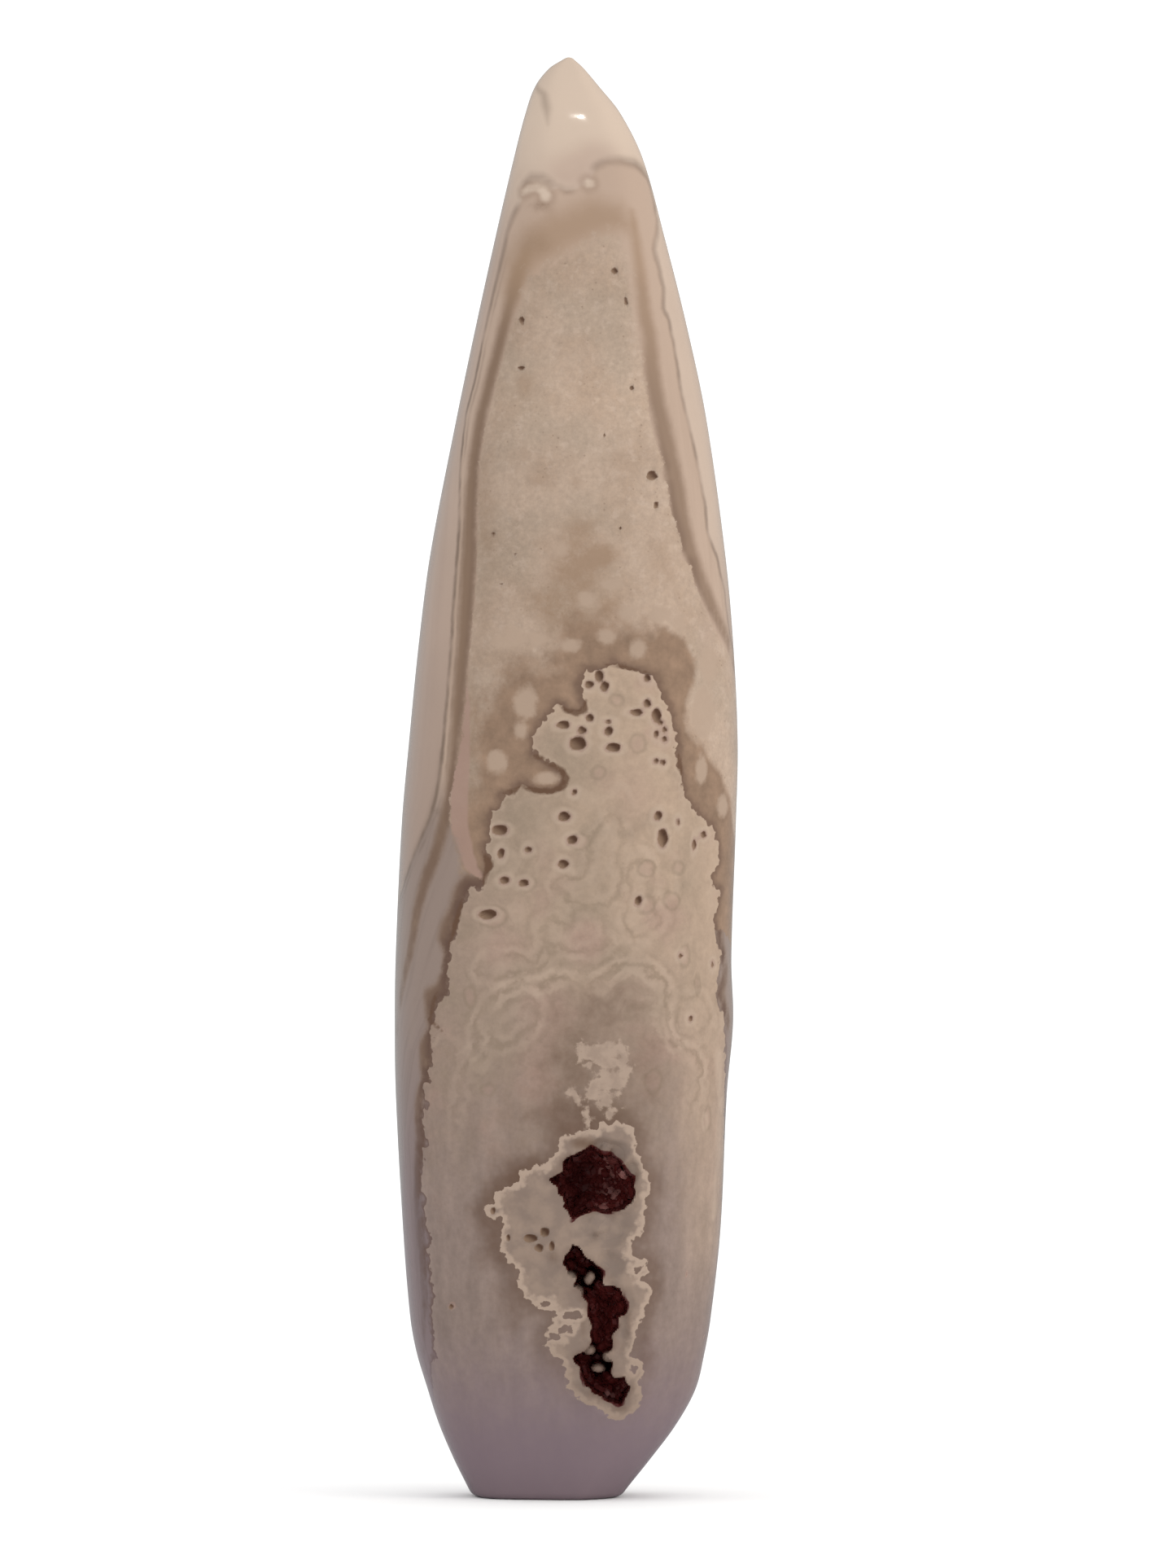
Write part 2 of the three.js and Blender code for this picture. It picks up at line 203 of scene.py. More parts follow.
# ---- the pattern's outlines, (x, z) on the front in millimetres ------------------------------
# x past an edge runs on round the side. Inside the arch lies everything but the outer shell.
ARCH = [
    (-4.9, 144.7), (-5.7, 143.2), (-6.4, 141.4), (-6.9, 139), (-7.6, 136), (-8.3, 133),
    (-9.0, 130), (-9.6, 127), (-10.2, 124), (-11.0, 121), (-11.4, 118), (-11.7, 115),
    (-11.8, 111), (-11.9, 107), (-12.2, 103), (-12.5, 99), (-12.7, 95), (-13.0, 91),
    (-13.6, 84), (-14.2, 79), (-15.2, 75.4), (-16.4, 72.6), (-17.4, 70), (-18.6, 66),
    (-20.5, 60), (-23, 50), (-25, 30), (-25, -6), (25, -6), (25, 40), (24, 62), (22, 78),
    (20, 88), (18.9, 93), (18.2, 96), (17.8, 99), (17.6, 101), (17.2, 102.5), (16.8, 104.5),
    (16.2, 106), (15.7, 107.5), (15.5, 110), (15, 113), (14.6, 115), (14.2, 117), (13.7, 119),
    (13.2, 121), (12.7, 123.5), (12.4, 125.5), (12, 128), (11.6, 130), (11.3, 131.4),
    (10.8, 132.4), (10.8, 134.5), (10.5, 136), (10.2, 137.5), (9.8, 139), (10.1, 141),
    (10.0, 143), (9.5, 145.2), (8.9, 147.2), (7.9, 148.4), (6.3, 149), (4.6, 149),
    (3.2, 148.2), (2.9, 147), (1.9, 146.2), (0.2, 145.6), (-1.0, 145.9), (-1.7, 145.6),
    (-2.4, 146.1), (-3.8, 146.6), (-4.8, 146.2), (-5.1, 145.4),
]
# The pale grainy field inside the brown bands.
FIELD = [
    (-4.6, 137.2), (-5.2, 134.6), (-5.6, 132.4), (-6.4, 130), (-7.1, 127), (-7.6, 125),
    (-8.2, 122), (-8.8, 119.6), (-9.3, 117), (-9.6, 115), (-9.7, 112), (-9.8, 108),
    (-9.8, 104), (-10.1, 100), (-10.3, 97), (-10.8, 92), (-11.2, 88), (-11.6, 84),
    (-12.4, 80), (-12.9, 77.2), (-12.95, 75.6), (-12.7, 74.1), (-12.1, 72.8), (-11.8, 71.4),
    (-11.7, 69.6), (-10.4, 69.2), (-8.9, 68.5), (-7.6, 67.6), (-4, 66), (4, 60), (12, 62),
    (17.4, 63), (19.2, 60), (20.9, 59.6), (22.3, 61.4), (22.8, 65), (22.7, 70),
    (22.1, 76), (21.2, 81),
    (19.4, 88), (18.2, 93), (17.5, 94.6), (17, 95.6), (16, 97.6),
    (15.2, 99.2), (14.4, 101.2), (13.9, 103.8), (12.8, 104.6), (12.7, 106.8), (12.0, 109),
    (11.5, 111), (11.3, 112.6), (10.4, 113.4), (10.9, 114.8), (10.4, 116.2), (9.7, 118.5),
    (9.2, 121), (8.9, 124), (8.6, 127), (8.0, 130), (7.7, 133), (7.6, 136), (7.0, 139),
    (5.8, 141.5), (4.5, 141.4), (3, 141.2), (2, 140.6), (0.5, 139.8), (-0.5, 139.2),
    (-2, 138.6), (-2.8, 137.8), (-3.8, 136.9),
]
# The warm brown ground round the top of the lace.
SMOKE = [
    (-7.2, 91.8), (-5.2, 93.2), (-2.4, 92.6), (-1.4, 95), (-0.6, 98), (0.6, 98.4), (3, 97.4),
    (5.6, 97.4), (8, 96.6), (11, 96.9), (13.2, 95.4), (14.5, 92.6), (14.0, 90.4), (13.4, 88.6),
    (13.2, 86.8), (13.6, 85.4), (14.6, 83.9), (15.6, 82.7), (17.0, 80.8), (18.2, 77.4),
    (18.8, 70), (19.2, 60), (19.4, 50), (14, 50), (0, 60), (-8, 66), (-12.6, 67.4),
    (-13.4, 74.6), (-12.0, 76.6),
    (-11.0, 78.4), (-10.6, 80.4), (-10.6, 83), (-10.2, 86), (-9.0, 89.6),
]
# The lace, from its top down to the foot.
LACE = [
    (5.2, 92.7), (6, 92.2), (8, 91.8), (9.6, 91.2), (10.3, 89.5), (11.3, 88), (11.7, 86),
    (12.2, 84), (12.1, 81.5), (12.8, 80), (12.9, 77.8), (13.8, 77), (14.6, 76), (15.3, 75.2),
    (16.2, 74.5), (16.8, 72.5), (16.9, 70.6), (15.9, 69), (16.2, 67.9), (17.1, 67.4),
    (16.6, 65.6), (16.3, 64.2), (16.6, 62.6), (16.5, 61.6), (17.2, 60.6), (16.9, 58.4),
    (16.5, 56.2), (16.7, 54.8), (17.4, 53.6), (17.5, 50), (17.6, 45), (17.5, 38), (17.2, 30),
    (17.4, 20), (16.5, 8), (10, -6), (-16, -6), (-15.2, 6), (-14.6, 11), (-14.9, 14.6),
    (-14.3, 15.2), (-14.7, 18), (-14.8, 21.4), (-14.4, 22), (-14.9, 24), (-15.3, 27.4),
    (-14.8, 28.2), (-15.4, 30), (-15.7, 32), (-15.3, 33), (-15.9, 34), (-15.9, 37),
    (-15.6, 37.5), (-15.9, 38.5), (-15.0, 38.9), (-15.6, 40.4), (-15.85, 42), (-15.7, 43),
    (-15.0, 43.3), (-15.5, 44.3), (-15.7, 45.5), (-14.9, 46.1), (-15.3, 47.1), (-14.8, 48.1),
    (-14.8, 52), (-14.4, 52.9), (-14.35, 54.3), (-13.7, 55.2), (-12.9, 55.8), (-12.85, 56.8),
    (-13.1, 58.7), (-12.6, 60.5), (-12.8, 61.4), (-12.0, 62.7), (-11.8, 64.2), (-11.4, 65.9),
    (-10.8, 66.4),
    (-10.7, 67.6), (-9.1, 67.5), (-8.7, 69.2), (-7.9, 70.2), (-8.9, 72.4), (-8.3, 72.9),
    (-8.3, 75), (-8, 76.2), (-7, 76.5), (-7, 78), (-5.8, 78.2), (-5.3, 79.3), (-4.5, 79.1),
    (-3.2, 78.3), (-1.4, 78.2), (-0.2, 79.1), (-0.1, 80.3), (-1.0, 81.2), (-1.9, 81.9),
    (-3.5, 83), (-3.5, 84.5), (-3, 85.6), (-1.6, 87.2), (-1.2, 88.1), (-0.4, 87.9),
    (0.1, 87.2), (2.2, 87.3), (2, 89.2), (1.6, 90.5), (2.2, 91.8), (4.6, 92.1),
]
# A thin hook of the ground that cuts into the lace.
HOOK = [
    (-1.9, 81.5), (-0.9, 81.0), (-0.4, 80.2), (-0.5, 79.4), (-1.3, 78.9), (-2.6, 78.8),
    (-4.4, 79.4),
]
HOOK_HALF_WIDTH = 0.34
# The white jagged edge of the lacy patch round the hollows.
RIM = [
    (-7.7, 32.4), (-8, 33.3), (-7.5, 34), (-6, 34.6), (-5, 35), (-5, 36), (-3.8, 36.6),
    (-2.2, 36.8), (-1.9, 37.5), (-1, 38.2), (-0.6, 40), (0.5, 40.2), (2, 40.8), (3.5, 40.7),
    (3.9, 41.5), (5, 41.4), (5.8, 41.7), (7, 41.3), (7.8, 40.2), (7.8, 38.5), (8.5, 36.8),
    (9.2, 35.5), (9.3, 34.2), (8.8, 33.3), (8.8, 32), (8.4, 30.2), (8.3, 29), (7.2, 28.5),
    (7, 27), (8.7, 26.2), (9, 25), (8, 24), (9.6, 23.3), (9, 21.5), (8, 19), (7.3, 17),
    (7, 15.4), (8.4, 14.8), (8.6, 13.6), (8, 13), (8.1, 11), (8, 10), (7, 9), (5.5, 8.5),
    (4.5, 8.6), (4, 9.2), (3, 10), (1, 11), (0.3, 12), (0, 13.5), (-0.3, 14.8), (-1.2, 15.5),
    (-2.3, 16.6), (-2.2, 18), (-1.4, 19.2), (-1.2, 20.4), (-3, 21.1), (-4.5, 22),
    (-5.2, 23.5), (-5.3, 25.2), (-6.3, 26), (-7, 27), (-7.3, 28), (-7, 30), (-7.2, 31.2),
    (-8.4, 30.9), (-9.0, 31.8), (-8.5, 32.6),
]
# Brown windows in it: (x, z, half width, half height).
WINDOWS = [
    (-2.3, 21.3, 0.65, 0.55), (-1.3, 17.7, 0.85, 0.5), (-0.1, 18.5, 0.75, 0.45),
    (0.8, 20.1, 1.15, 0.5), (7.5, 14.0, 0.45, 0.4), (7.9, 25.3, 0.5, 0.35),
]
# The small white patch above it, with its stems, and the windows in it.
PATCHES = [
    [
        (1.1, 50.5), (1.8, 50.9), (2.5, 50.1), (3.4, 50.4), (4.6, 50.6), (5.7, 50.4), (6.0, 51.0),
        (6.8, 50.1), (6.8, 48.6), (7.0, 47.9), (7.7, 48.3), (7.4, 47.4), (6.9, 47.0), (6.8, 46.0),
        (6.2, 45.1), (5.8, 44.4), (5.2, 44.3), (4.9, 43.7), (4.0, 43.1), (3.4, 43.6), (2.5, 43.7),
        (2.2, 44.8), (2.6, 46.4), (3.6, 46.7), (2.8, 47.2), (2.4, 47.7), (1.1, 48.2), (1.3, 49.5),
    ],
    [(-0.2, 44.9), (0.35, 45.5), (1.2, 45.6), (1.4, 44.7), (1.8, 43.7), (1.3, 43.5), (0.8, 44.4)],
    [(2.1, 43.9), (2.6, 42.9), (2.9, 41.9), (2.6, 40.8), (2.3, 40.8), (2.1, 41.9), (1.9, 42.8)],
    [(4.3, 43.0), (4.4, 42.3), (4.9, 42.1), (5.5, 42.8), (6.3, 43.1), (5.2, 43.3)],
]
PATCH_WINDOWS = [
    (3.3, 47.7, 0.6, 0.5), (5.4, 47.5, 0.5, 0.3), (5.9, 48.9, 0.5, 0.22), (4.8, 45.1, 1.0, 0.24),
    (2.2, 48.5, 0.6, 0.2), (3.2, 44.0, 0.5, 0.2),
]
# Soft pale drops in the brown ground: (x, z, half width, half height).
DROPS = [
    (-4.5, 88.4, 1.35, 2.0), (-7.7, 81.8, 1.15, 1.1), (15.3, 87.4, 1.7, 3.0),
    (15.0, 80.9, 0.9, 1.6), (8.0, 94.2, 0.8, 1.0), (4.6, 95.7, 1.0, 0.8), (0.6, 94.8, 1.2, 0.8),
    (6.9, 98.4, 1.0, 0.8), (2.4, 99.9, 1.1, 0.9), (17.4, 77.0, 0.9, 1.2), (10.4, 98.2, 1.4, 0.8),
    (-2.2, 80.0, 1.5, 0.7), (-3.2, 95.4, 1.2, 0.7), (5.0, 101.6, 1.4, 0.6),
    (-0.6, 105.4, 0.9, 0.7), (-6.0, 95.4, 1.8, 1.2), (15.8, 92.4, 1.4, 2.2),
    (-4.8, 85.4, 0.7, 0.7), (12.6, 97.4, 1.0, 1.2),
]
# Soft warm stains: (x, z, half width, half height, strength).
STAINS = [
    (-3.2, 139.4, 2.2, 1.5, 0.5), (0.2, 145.6, 1.2, 0.6, 0.4), (-2.9, 144.0, 1.6, 0.6, 0.35),
    (1.8, 103.5, 3.8, 5.0, 0.6), (-3.6, 99.4, 2.4, 1.8, 0.35),
    (-4.6, 124.0, 1.3, 1.8, 0.5), (-2.9, 113.2, 1.5, 1.1, 0.45), (1.2, 113.0, 0.9, 0.9, 0.4),
    (4.2, 104.8, 1.8, 1.1, 0.7), (1.4, 108.0, 1.6, 1.4, 0.3), (0.6, 102.4, 2.6, 2.2, 0.3),
    (-1.5, 99.0, 2.2, 2.0, 0.4), (5.2, 99.2, 1.4, 1.0, 0.4), (1.6, 96.8, 3.4, 2.0, 0.5),
    (8.6, 98.2, 1.4, 1.0, 0.3), (-3.0, 106.6, 1.2, 1.2, 0.2), (-11.0, 85.0, 1.5, 7.0, 0.6),
    (-9.2, 72.6, 1.0, 2.4, 0.9), (-9.0, 78.6, 1.4, 1.4, 0.3), (-8.9, 108.0, 1.7, 12.0, 0.4),
    (-2.2, 142.6, 3.2, 1.5, 0.2), (13.4, 80.0, 2.4, 9.0, 0.4), (10.6, 103.0, 2.2, 5.0, 0.3),
]
# Stains in the lace: the same.
LACE_STAINS = [
    (-4.6, 35.6, 3.6, 2.6, 0.65), (-8.4, 29.4, 2.2, 5.0, 0.5), (10.6, 34.0, 2.2, 5.0, 0.2),
    (1.2, 42.2, 6.5, 2.6, 0.5), (10.0, 25.0, 1.8, 5.0, 0.25), (-6.0, 21.0, 2.6, 4.0, 0.4),
    (9.0, 16.5, 1.6, 3.0, 0.4), (1.2, 48.6, 4.8, 5.2, 0.45), (8.6, 47.0, 2.6, 4.6, 0.35),
    (4.2, 55.2, 5.4, 2.6, 0.3), (-2.4, 14.0, 2.4, 2.4, 0.3), (12.6, 79.0, 1.6, 3.0, 0.2),
]
# Soft pinkish zones: the same.
BLUSHES = [
    (2.2, 61.8, 2.4, 2.6, 1.0), (-6.8, 61.0, 4.4, 2.4, 0.55), (-1.6, 54.0, 2.8, 3.4, 0.6),
    (-3.4, 47.8, 2.8, 3.6, 0.5), (11.8, 64.8, 2.8, 2.4, 0.45), (7.4, 78.0, 3.6, 6.0, 0.4),
    (-12.4, 82.0, 1.6, 8.0, 0.6), (15.6, 96.0, 1.8, 5.0, 0.3), (0.4, 147.6, 3.4, 2.3, 0.8),
    (3.6, 149.2, 2.8, 2.4, 0.8),
]
# Soft shades inside the rim, against the hollows: the same.
SHADES = [
    (1.9, 39.3, 1.7, 0.9, 0.9), (7.9, 33.8, 0.5, 1.6, 0.5), (-1.4, 26.6, 0.9, 1.0, 0.5),
    (6.9, 19.4, 0.7, 2.2, 0.5), (1.9, 18.8, 0.6, 1.8, 0.5), (4.9, 24.2, 0.7, 0.9, 0.4),
    (5.8, 9.7, 1.4, 0.6, 0.6), (6.0, 16.4, 0.8, 1.2, 0.35), (1.0, 12.2, 0.7, 1.0, 0.3),
]
# Soft grey-green zones in the lace: the same.
GREYS = [
    (-5.4, 75.4, 4.2, 4.0, 1.0), (-6.0, 69.6, 3.6, 3.0, 0.6), (2.2, 70.0, 4.0, 5.0, 0.7),
    (0.6, 64.6, 3.6, 2.4, 0.5), (-9.4, 62.0, 2.0, 2.0, 0.3), (9.4, 53.6, 3.4, 3.8, 0.35),
    (-7.6, 51.6, 2.6, 3.6, 0.6), (-1.6, 84.4, 2.0, 2.0, 0.4), (4.6, 60.2, 3.0, 1.6, 0.5),
    (14.2, 58.2, 1.4, 3.0, 0.4), (9.6, 41.0, 2.4, 3.0, 0.3), (0.6, 81.4, 4.4, 4.4, 0.8),
    (-0.4, 60.2, 4.4, 2.4, 0.6), (13.8, 70.0, 2.6, 9.0, 0.7), (9.0, 24.0, 2.0, 5.0, 0.4),
]
# Thin contour lines in the lace, each a closed loop, the main one first.
LOOPS = [
    [
        (-12.6, 40), (-11.8, 45), (-10.9, 48.7), (-9.9, 51.6), (-9.4, 53.4), (-8.2, 54.9),
        (-6.4, 56.2), (-4.6, 57.0), (-2.6, 57.2), (-0.6, 57.9), (0.8, 57.4), (2.0, 56.8),
        (3.4, 57.2), (4.9, 58.1), (6.7, 59.2), (8.5, 59.1), (10.2, 58.0), (11.3, 56.2),
        (10.9, 53.6), (11.4, 51.6), (12.4, 50.4), (14.0, 49.4), (14.8, 47.6), (14.6, 45.4),
        (13.7, 43.2), (13.4, 40), (13.6, 34), (14.2, 26), (13.0, 18), (2, 4), (-11.6, 12),
        (-12.8, 22), (-13.2, 32),
    ],
    [
        (-1.2, 67.8), (-0.6, 69.0), (1.8, 68.9), (2.4, 70.4), (3.0, 73.0), (4.4, 75.4),
        (5.9, 75.8), (6.3, 73.8), (5.8, 71.4), (6.4, 68.6), (5.4, 66.4), (3.0, 66.0),
        (0.8, 66.4),
    ],
    [(3.2, 69.6), (3.8, 71.9), (4.6, 72.4), (5.0, 70.8), (5.4, 69.0), (4.4, 68.4)],
    [
        (-2.6, 63.0), (-1.4, 64.2), (0.4, 63.6), (1.0, 65.3), (2.6, 65.6), (4.1, 64.4),
        (4.4, 62.4), (3.4, 60.8), (1.6, 60.6), (-0.4, 61.2), (-1.6, 61.0),
    ],
    [
        (-9.6, 58.6), (-8.2, 59.9), (-6.0, 60.0), (-3.6, 59.6), (-2.2, 61.2), (-1.8, 60.0),
        (-3.2, 58.4), (-6.4, 57.9), (-8.6, 57.8),
    ],
    [
        (-8.6, 51.0), (-8.2, 53.4), (-6.6, 54.6), (-4.6, 55.6), (-3.4, 55.2), (-3.2, 53.4),
        (-4.4, 51.6), (-6.0, 50.6), (-7.4, 50.2),
    ],
    [
        (12.2, 51.8), (12.4, 54.2), (13.6, 55.5), (15.2, 55.2), (16.0, 53.4), (15.0, 51.6),
        (13.4, 51.0),
    ],
    [
        (6.6, 64.0), (7.4, 67.0), (6.8, 69.4), (8.4, 71.0), (9.6, 69.6), (9.4, 66.4),
        (10.4, 64.2), (9.0, 62.6), (7.4, 62.6),
    ],
]
# Rings and halos: (x, z, half width, half height).
RINGS = [
    (11.7, 66.3, 0.9, 0.9), (8.9, 65.9, 0.9, 1.1), (13.1, 60.1, 0.8, 1.3), (8.9, 69.9, 0.9, 0.9),
    (14.6, 57.0, 0.5, 1.0), (-8.2, 64.6, 1.6, 1.2), (-4.4, 68.2, 1.1, 0.8), (15.7, 42.0, 0.6, 1.2),
    (9.6, 46.2, 1.0, 1.3), (-8.6, 45.2, 0.9, 0.8), (8.0, 83.9, 0.9, 1.0), (3.6, 80.6, 0.8, 0.7),
    (1.4, 72.9, 1.1, 0.9), (5.6, 88.6, 0.7, 0.6), (-10.6, 55.6, 0.7, 1.2), (12.4, 70.0, 0.8, 0.7),
]
# Short pale squiggles on the arch line near the tip: (x, z, half width).
WORMS = [
    [
        (-4.8, 145.4, 0.15), (-4.1, 145.8, 0.3), (-3.3, 145.95, 0.32), (-2.6, 145.6, 0.4),
        (-2.3, 145.0, 0.55),
    ],
    [(2.45, 146.4, 0.35), (2.7, 146.35, 0.3)],
]
# Soft brown bands, drawn on the shell's side of the field and of the lace: (x, z, half width).
BROWN = [
    [
        (-4.4, 138.6, 0.3), (-5.3, 136, 0.7), (-6.4, 132.2, 0.6), (-7.3, 128.6, 0.6),
        (-8.4, 124.4, 0.6), (-9.4, 120.6, 0.6), (-10.2, 116, 0.65), (-10.6, 111, 0.7),
        (-10.75, 105, 0.8), (-11.0, 100, 0.8), (-11.3, 96, 0.7), (-12.0, 88, 0.6),
        (-12.4, 84, 0.45), (-12.9, 78, 0.45), (-13.5, 75, 0.6), (-14.2, 72.4, 0.65),
        (-14.9, 70.4, 0.65), (-15.7, 68.4, 0.65), (-16.6, 65, 0.65), (-17.3, 60.6, 0.6),
        (-18.0, 57.6, 0.55), (-18.6, 53.6, 0.45), (-19.0, 49, 0.3), (-19.8, 41, -0.5),
    ],
    [
        (7.3, 143.2, 0.0), (7.8, 140, 0.35), (8.3, 136, 0.5), (8.7, 132, 0.6), (9.3, 129, 0.65),
        (9.5, 125.7, 0.75), (10.0, 122.4, 0.75), (10.8, 119.1, 0.8), (11.5, 115.9, 0.85),
        (12.2, 112.6, 0.95), (12.6, 109.3, 1.0), (13.5, 106, 0.9), (14.6, 102.8, 0.75),
        (15.9, 99.8, 0.65), (17.2, 97, 0.5), (18.4, 94, 0.4), (19.8, 89, 0.2), (21.4, 83, -0.5),
    ],
    [
        (-9.6, 68.3, 0.6), (-10.9, 68.4, 0.7), (-11.8, 67.0, 0.7), (-12.1, 65.4, 0.7),
        (-12.8, 63.8, 0.95), (-13.3, 62.4, 0.9), (-13.0, 60.4, 0.35), (-13.3, 58.2, 0.3),
        (-13.9, 56.2, 0.8), (-14.9, 55.6, 0.9), (-15.0, 53.8, 0.6), (-14.9, 51.8, 0.35),
        (-15.6, 50.0, 0.8), (-15.6, 48.2, 0.8), (-15.5, 46.2, 0.5), (-16.2, 44.6, 0.6),
        (-16.4, 42, 0.6), (-16.1, 39.6, 0.8), (-16.5, 36.4, 0.6), (-16.5, 33, 0.6),
        (-16.2, 29.5, 0.6), (-15.9, 26, 0.5), (-15.7, 22, 0.3), (-15.7, 16, 0.1),
    ],
    [
        (17.6, 71.6, 0.6), (17.4, 69, 0.9), (17.6, 66.4, 0.5), (17.0, 63.6, 0.5),
        (17.2, 61.2, 0.4), (17.8, 58.6, 0.4), (17.2, 55.8, 0.5), (18.0, 53.0, 0.4),
        (18.5, 47, 0.2), (19.0, 41, -0.5),
    ],
]
# The wide soft end of the arch line, at its top right.
CREST = [
    (3.6, 147.8, -0.4), (4.8, 148.6, -0.1), (6.2, 148.9, 0.35), (7.6, 148.7, 0.45),
    (8.8, 147.6, 0.4), (9.4, 145.8, 0.25), (9.8, 143.6, 0.1),
]
# Thin dark lines along the edge of the lace and in its brown corners.
DARK_LINES = [
    [
        (-2.3, 81.6, 0.05), (-1.2, 81.3, 0.2), (-0.4, 80.8, 0.3), (0.0, 79.9, 0.35),
        (-0.4, 79.0, 0.32), (-1.6, 78.55, 0.28), (-3.0, 78.55, 0.3), (-4.4, 78.9, 0.2),
        (-5.2, 79.3, 0.05),
    ],
    [(-0.8, 88.3, 0.0), (0.0, 87.5, 0.2), (1.2, 87.2, 0.25), (2.1, 87.6, 0.3), (2.2, 88.6, 0.1)],
    [(4.4, 92.6, 0.0), (5.8, 92.5, 0.12), (7.4, 92.1, 0.1), (9.2, 91.7, 0.0)],
    [(12.5, 82.6, 0.1), (12.6, 81.2, 0.25), (12.9, 80.2, 0.1)],
    [(-3.4, 82.4, 0.2), (-2.6, 82.2, 0.15)],
    [(-6.8, 78.4, 0.1), (-5.8, 78.5, 0.25), (-5.2, 79.0, 0.1)],
    [
        (-9.2, 71.8, 0.0), (-8.7, 70.8, 0.35), (-8.5, 70.3, 0.4), (-8.9, 69.2, 0.2),
        (-9.1, 68.2, 0.1),
    ],
    [(-15.2, 53.0, 0.2), (-14.2, 52.2, 0.1), (-13.2, 51.3, -0.1)],
    [
        (-11.5, 66.4, 0.1), (-11.9, 64.8, 0.2), (-12.3, 63.6, 0.25), (-12.5, 62.6, 0.2),
        (-13.1, 61.0, 0.0),
    ],
    [(-14.2, 56.4, 0.0), (-14.7, 54.9, 0.25), (-15.0, 53.4, 0.1)],
]
# The pinkish tongue down the left of the field.
TONGUE = [
    (-11.4, 94.0, 0.0), (-11.4, 88.0, 0.8), (-11.65, 81.0, 1.0), (-11.85, 76.6, 1.0),
    (-11.8, 74.6, 1.0), (-11.25, 72.6, 0.85), (-10.95, 71.4, 0.75), (-10.6, 70.4, 0.75),
    (-10.2, 69.7, 0.5), (-9.5, 69.1, 0.3), (-9.0, 68.7, 0.0),
]
# The olive ground between the arch and the field.
OLIVE = [
    (-5.9, 134.4, 0.3), (-5.2, 137.2, 0.9), (-3.0, 139.6, 1.3), (0.0, 141.2, 1.2),
    (3.2, 142.6, 1.1), (5.2, 142.6, 0.6), (6.6, 141.8, -0.2),
]
# Soft thin creases in the shell, the last of them along the arch on the left. The first, at the
# tip, is painted shade where two facets meet.
CREASES = [
    [(-3.0, 157.6, 0.0), (-2.6, 156.4, 0.2), (-2.4, 155, 0.25), (-2.1, 153.0, -0.3)],
    [(-4.6, 146.4, 0.1), (-3.8, 147.2, 0.15), (-2.6, 147.1, 0.15), (-1.6, 146.4, 0.1)],
    [(-14.9, 76.6, 0.0), (-14.0, 76.1, 0.1), (-13.1, 75.3, 0.1)],
    [
        (-13.8, 83, 0.0), (-14.2, 79, 0.1), (-15.2, 75.4, 0.2), (-16.4, 72.6, 0.2),
        (-17.4, 70, 0.15), (-18.6, 66, 0.05), (-19.4, 63, -0.2),
    ],
]
# Pale streaks on the shell and down the sides. The last, down the right edge, is a painted
# reflection.
PALE_STREAKS_AND_REFLECTION = [
    [(-16.2, 70.6, 0.1), (-16.9, 67.6, 0.25), (-17.5, 64.6, 0.25), (-18.0, 61.6, 0.1)],
    [
        (-13.3, 72.2, 0.2), (-13.6, 69.6, 0.5), (-14.3, 66.6, 0.5), (-15.4, 62.4, 0.5),
        (-16.0, 58, 0.6),
    ],
    [(-14.4, 60.6, 0.3), (-14.9, 58.2, 0.4), (-16.9, 55.6, 0.4), (-17.2, 50.6, 0.5)],
    [(17.6, 63.8, 0.5), (18.2, 61.8, 0.4)],
    [(17.4, 57.4, 0.3), (17.6, 56.2, 0.35), (18.1, 58.8, 0.35)],
    [(16.9, 49, 0.3), (17.1, 44, 0.35), (16.9, 38, 0.3), (16.4, 31, 0.2)],
]
# The streaks low at the sides run along these lines: (height, x on the left, x on the right).
STREAKS = [
    (0, -18.0, 15.0), (20, -18.6, 17.0), (40, -19.4, 18.0), (50, -18.9, 18.2), (57.6, -17.9, 18.0),
    (65, -16.5, 17.6), (70.4, -14.8, 17.8), (75, -13.4, 18.4), (84, -12.4, 18.8), (160, -4.0, 8.0),
]

# The same features on the back, in millimetres round the ring from the middle of the back.
BACK_ARCH = [
    (0, 147), (-3.6, 144.6), (-5.8, 138), (-8.0, 129), (-10.4, 117), (-12.8, 104), (-15, 91),
    (-18, 76), (-21, 62), (-23, 40), (-23, -6), (23, -6), (23, 44), (20, 66), (17, 82),
    (14.4, 96), (12.0, 109), (9.6, 122), (7.4, 134), (4.4, 143.6),
]
BACK_FIELD = [
    (0.6, 139), (-2.8, 138), (-5.0, 130), (-7.4, 120), (-9.6, 108), (-11.8, 96), (-14, 84),
    (-16.4, 73), (-17.4, 68), (-17.2, 63.6), (-15.6, 60.2), (-12, 58), (0, 60), (11, 58),
    (15.2, 60.2), (16.8, 63.4), (17.0, 67.6), (16.2, 72), (14.6, 80), (12.4, 92),
    (10.4, 104), (8.2, 116), (6.0, 128), (4.0, 136),
]
BACK_SMOKE = [
    (-12, 76), (-9, 82), (-5, 84), (-1, 88), (4, 90), (8, 84), (11, 78), (14, 68), (16, 58),
    (8, 52), (-8, 52), (-15, 60), (-14, 70),
]
BACK_LACE = [
    (-13.6, 57), (-14.4, 50), (-15.4, 40), (-15.8, 30), (-15, 18), (-14, 8), (-13, -6), (12, -6),
    (13.2, 8), (15, 18), (16, 32), (15.6, 44), (14.4, 54), (12.4, 60), (10.6, 63), (9.4, 66.6),
    (7.2, 68), (6.8, 71.6), (5.0, 73.6), (3.6, 77), (1.8, 78), (0.4, 75.6), (-1.6, 76.4),
    (-3.0, 79.2), (-5.2, 77.6), (-6.4, 74.2), (-8.6, 73), (-9.2, 69), (-11.2, 66), (-11.6, 61),
]
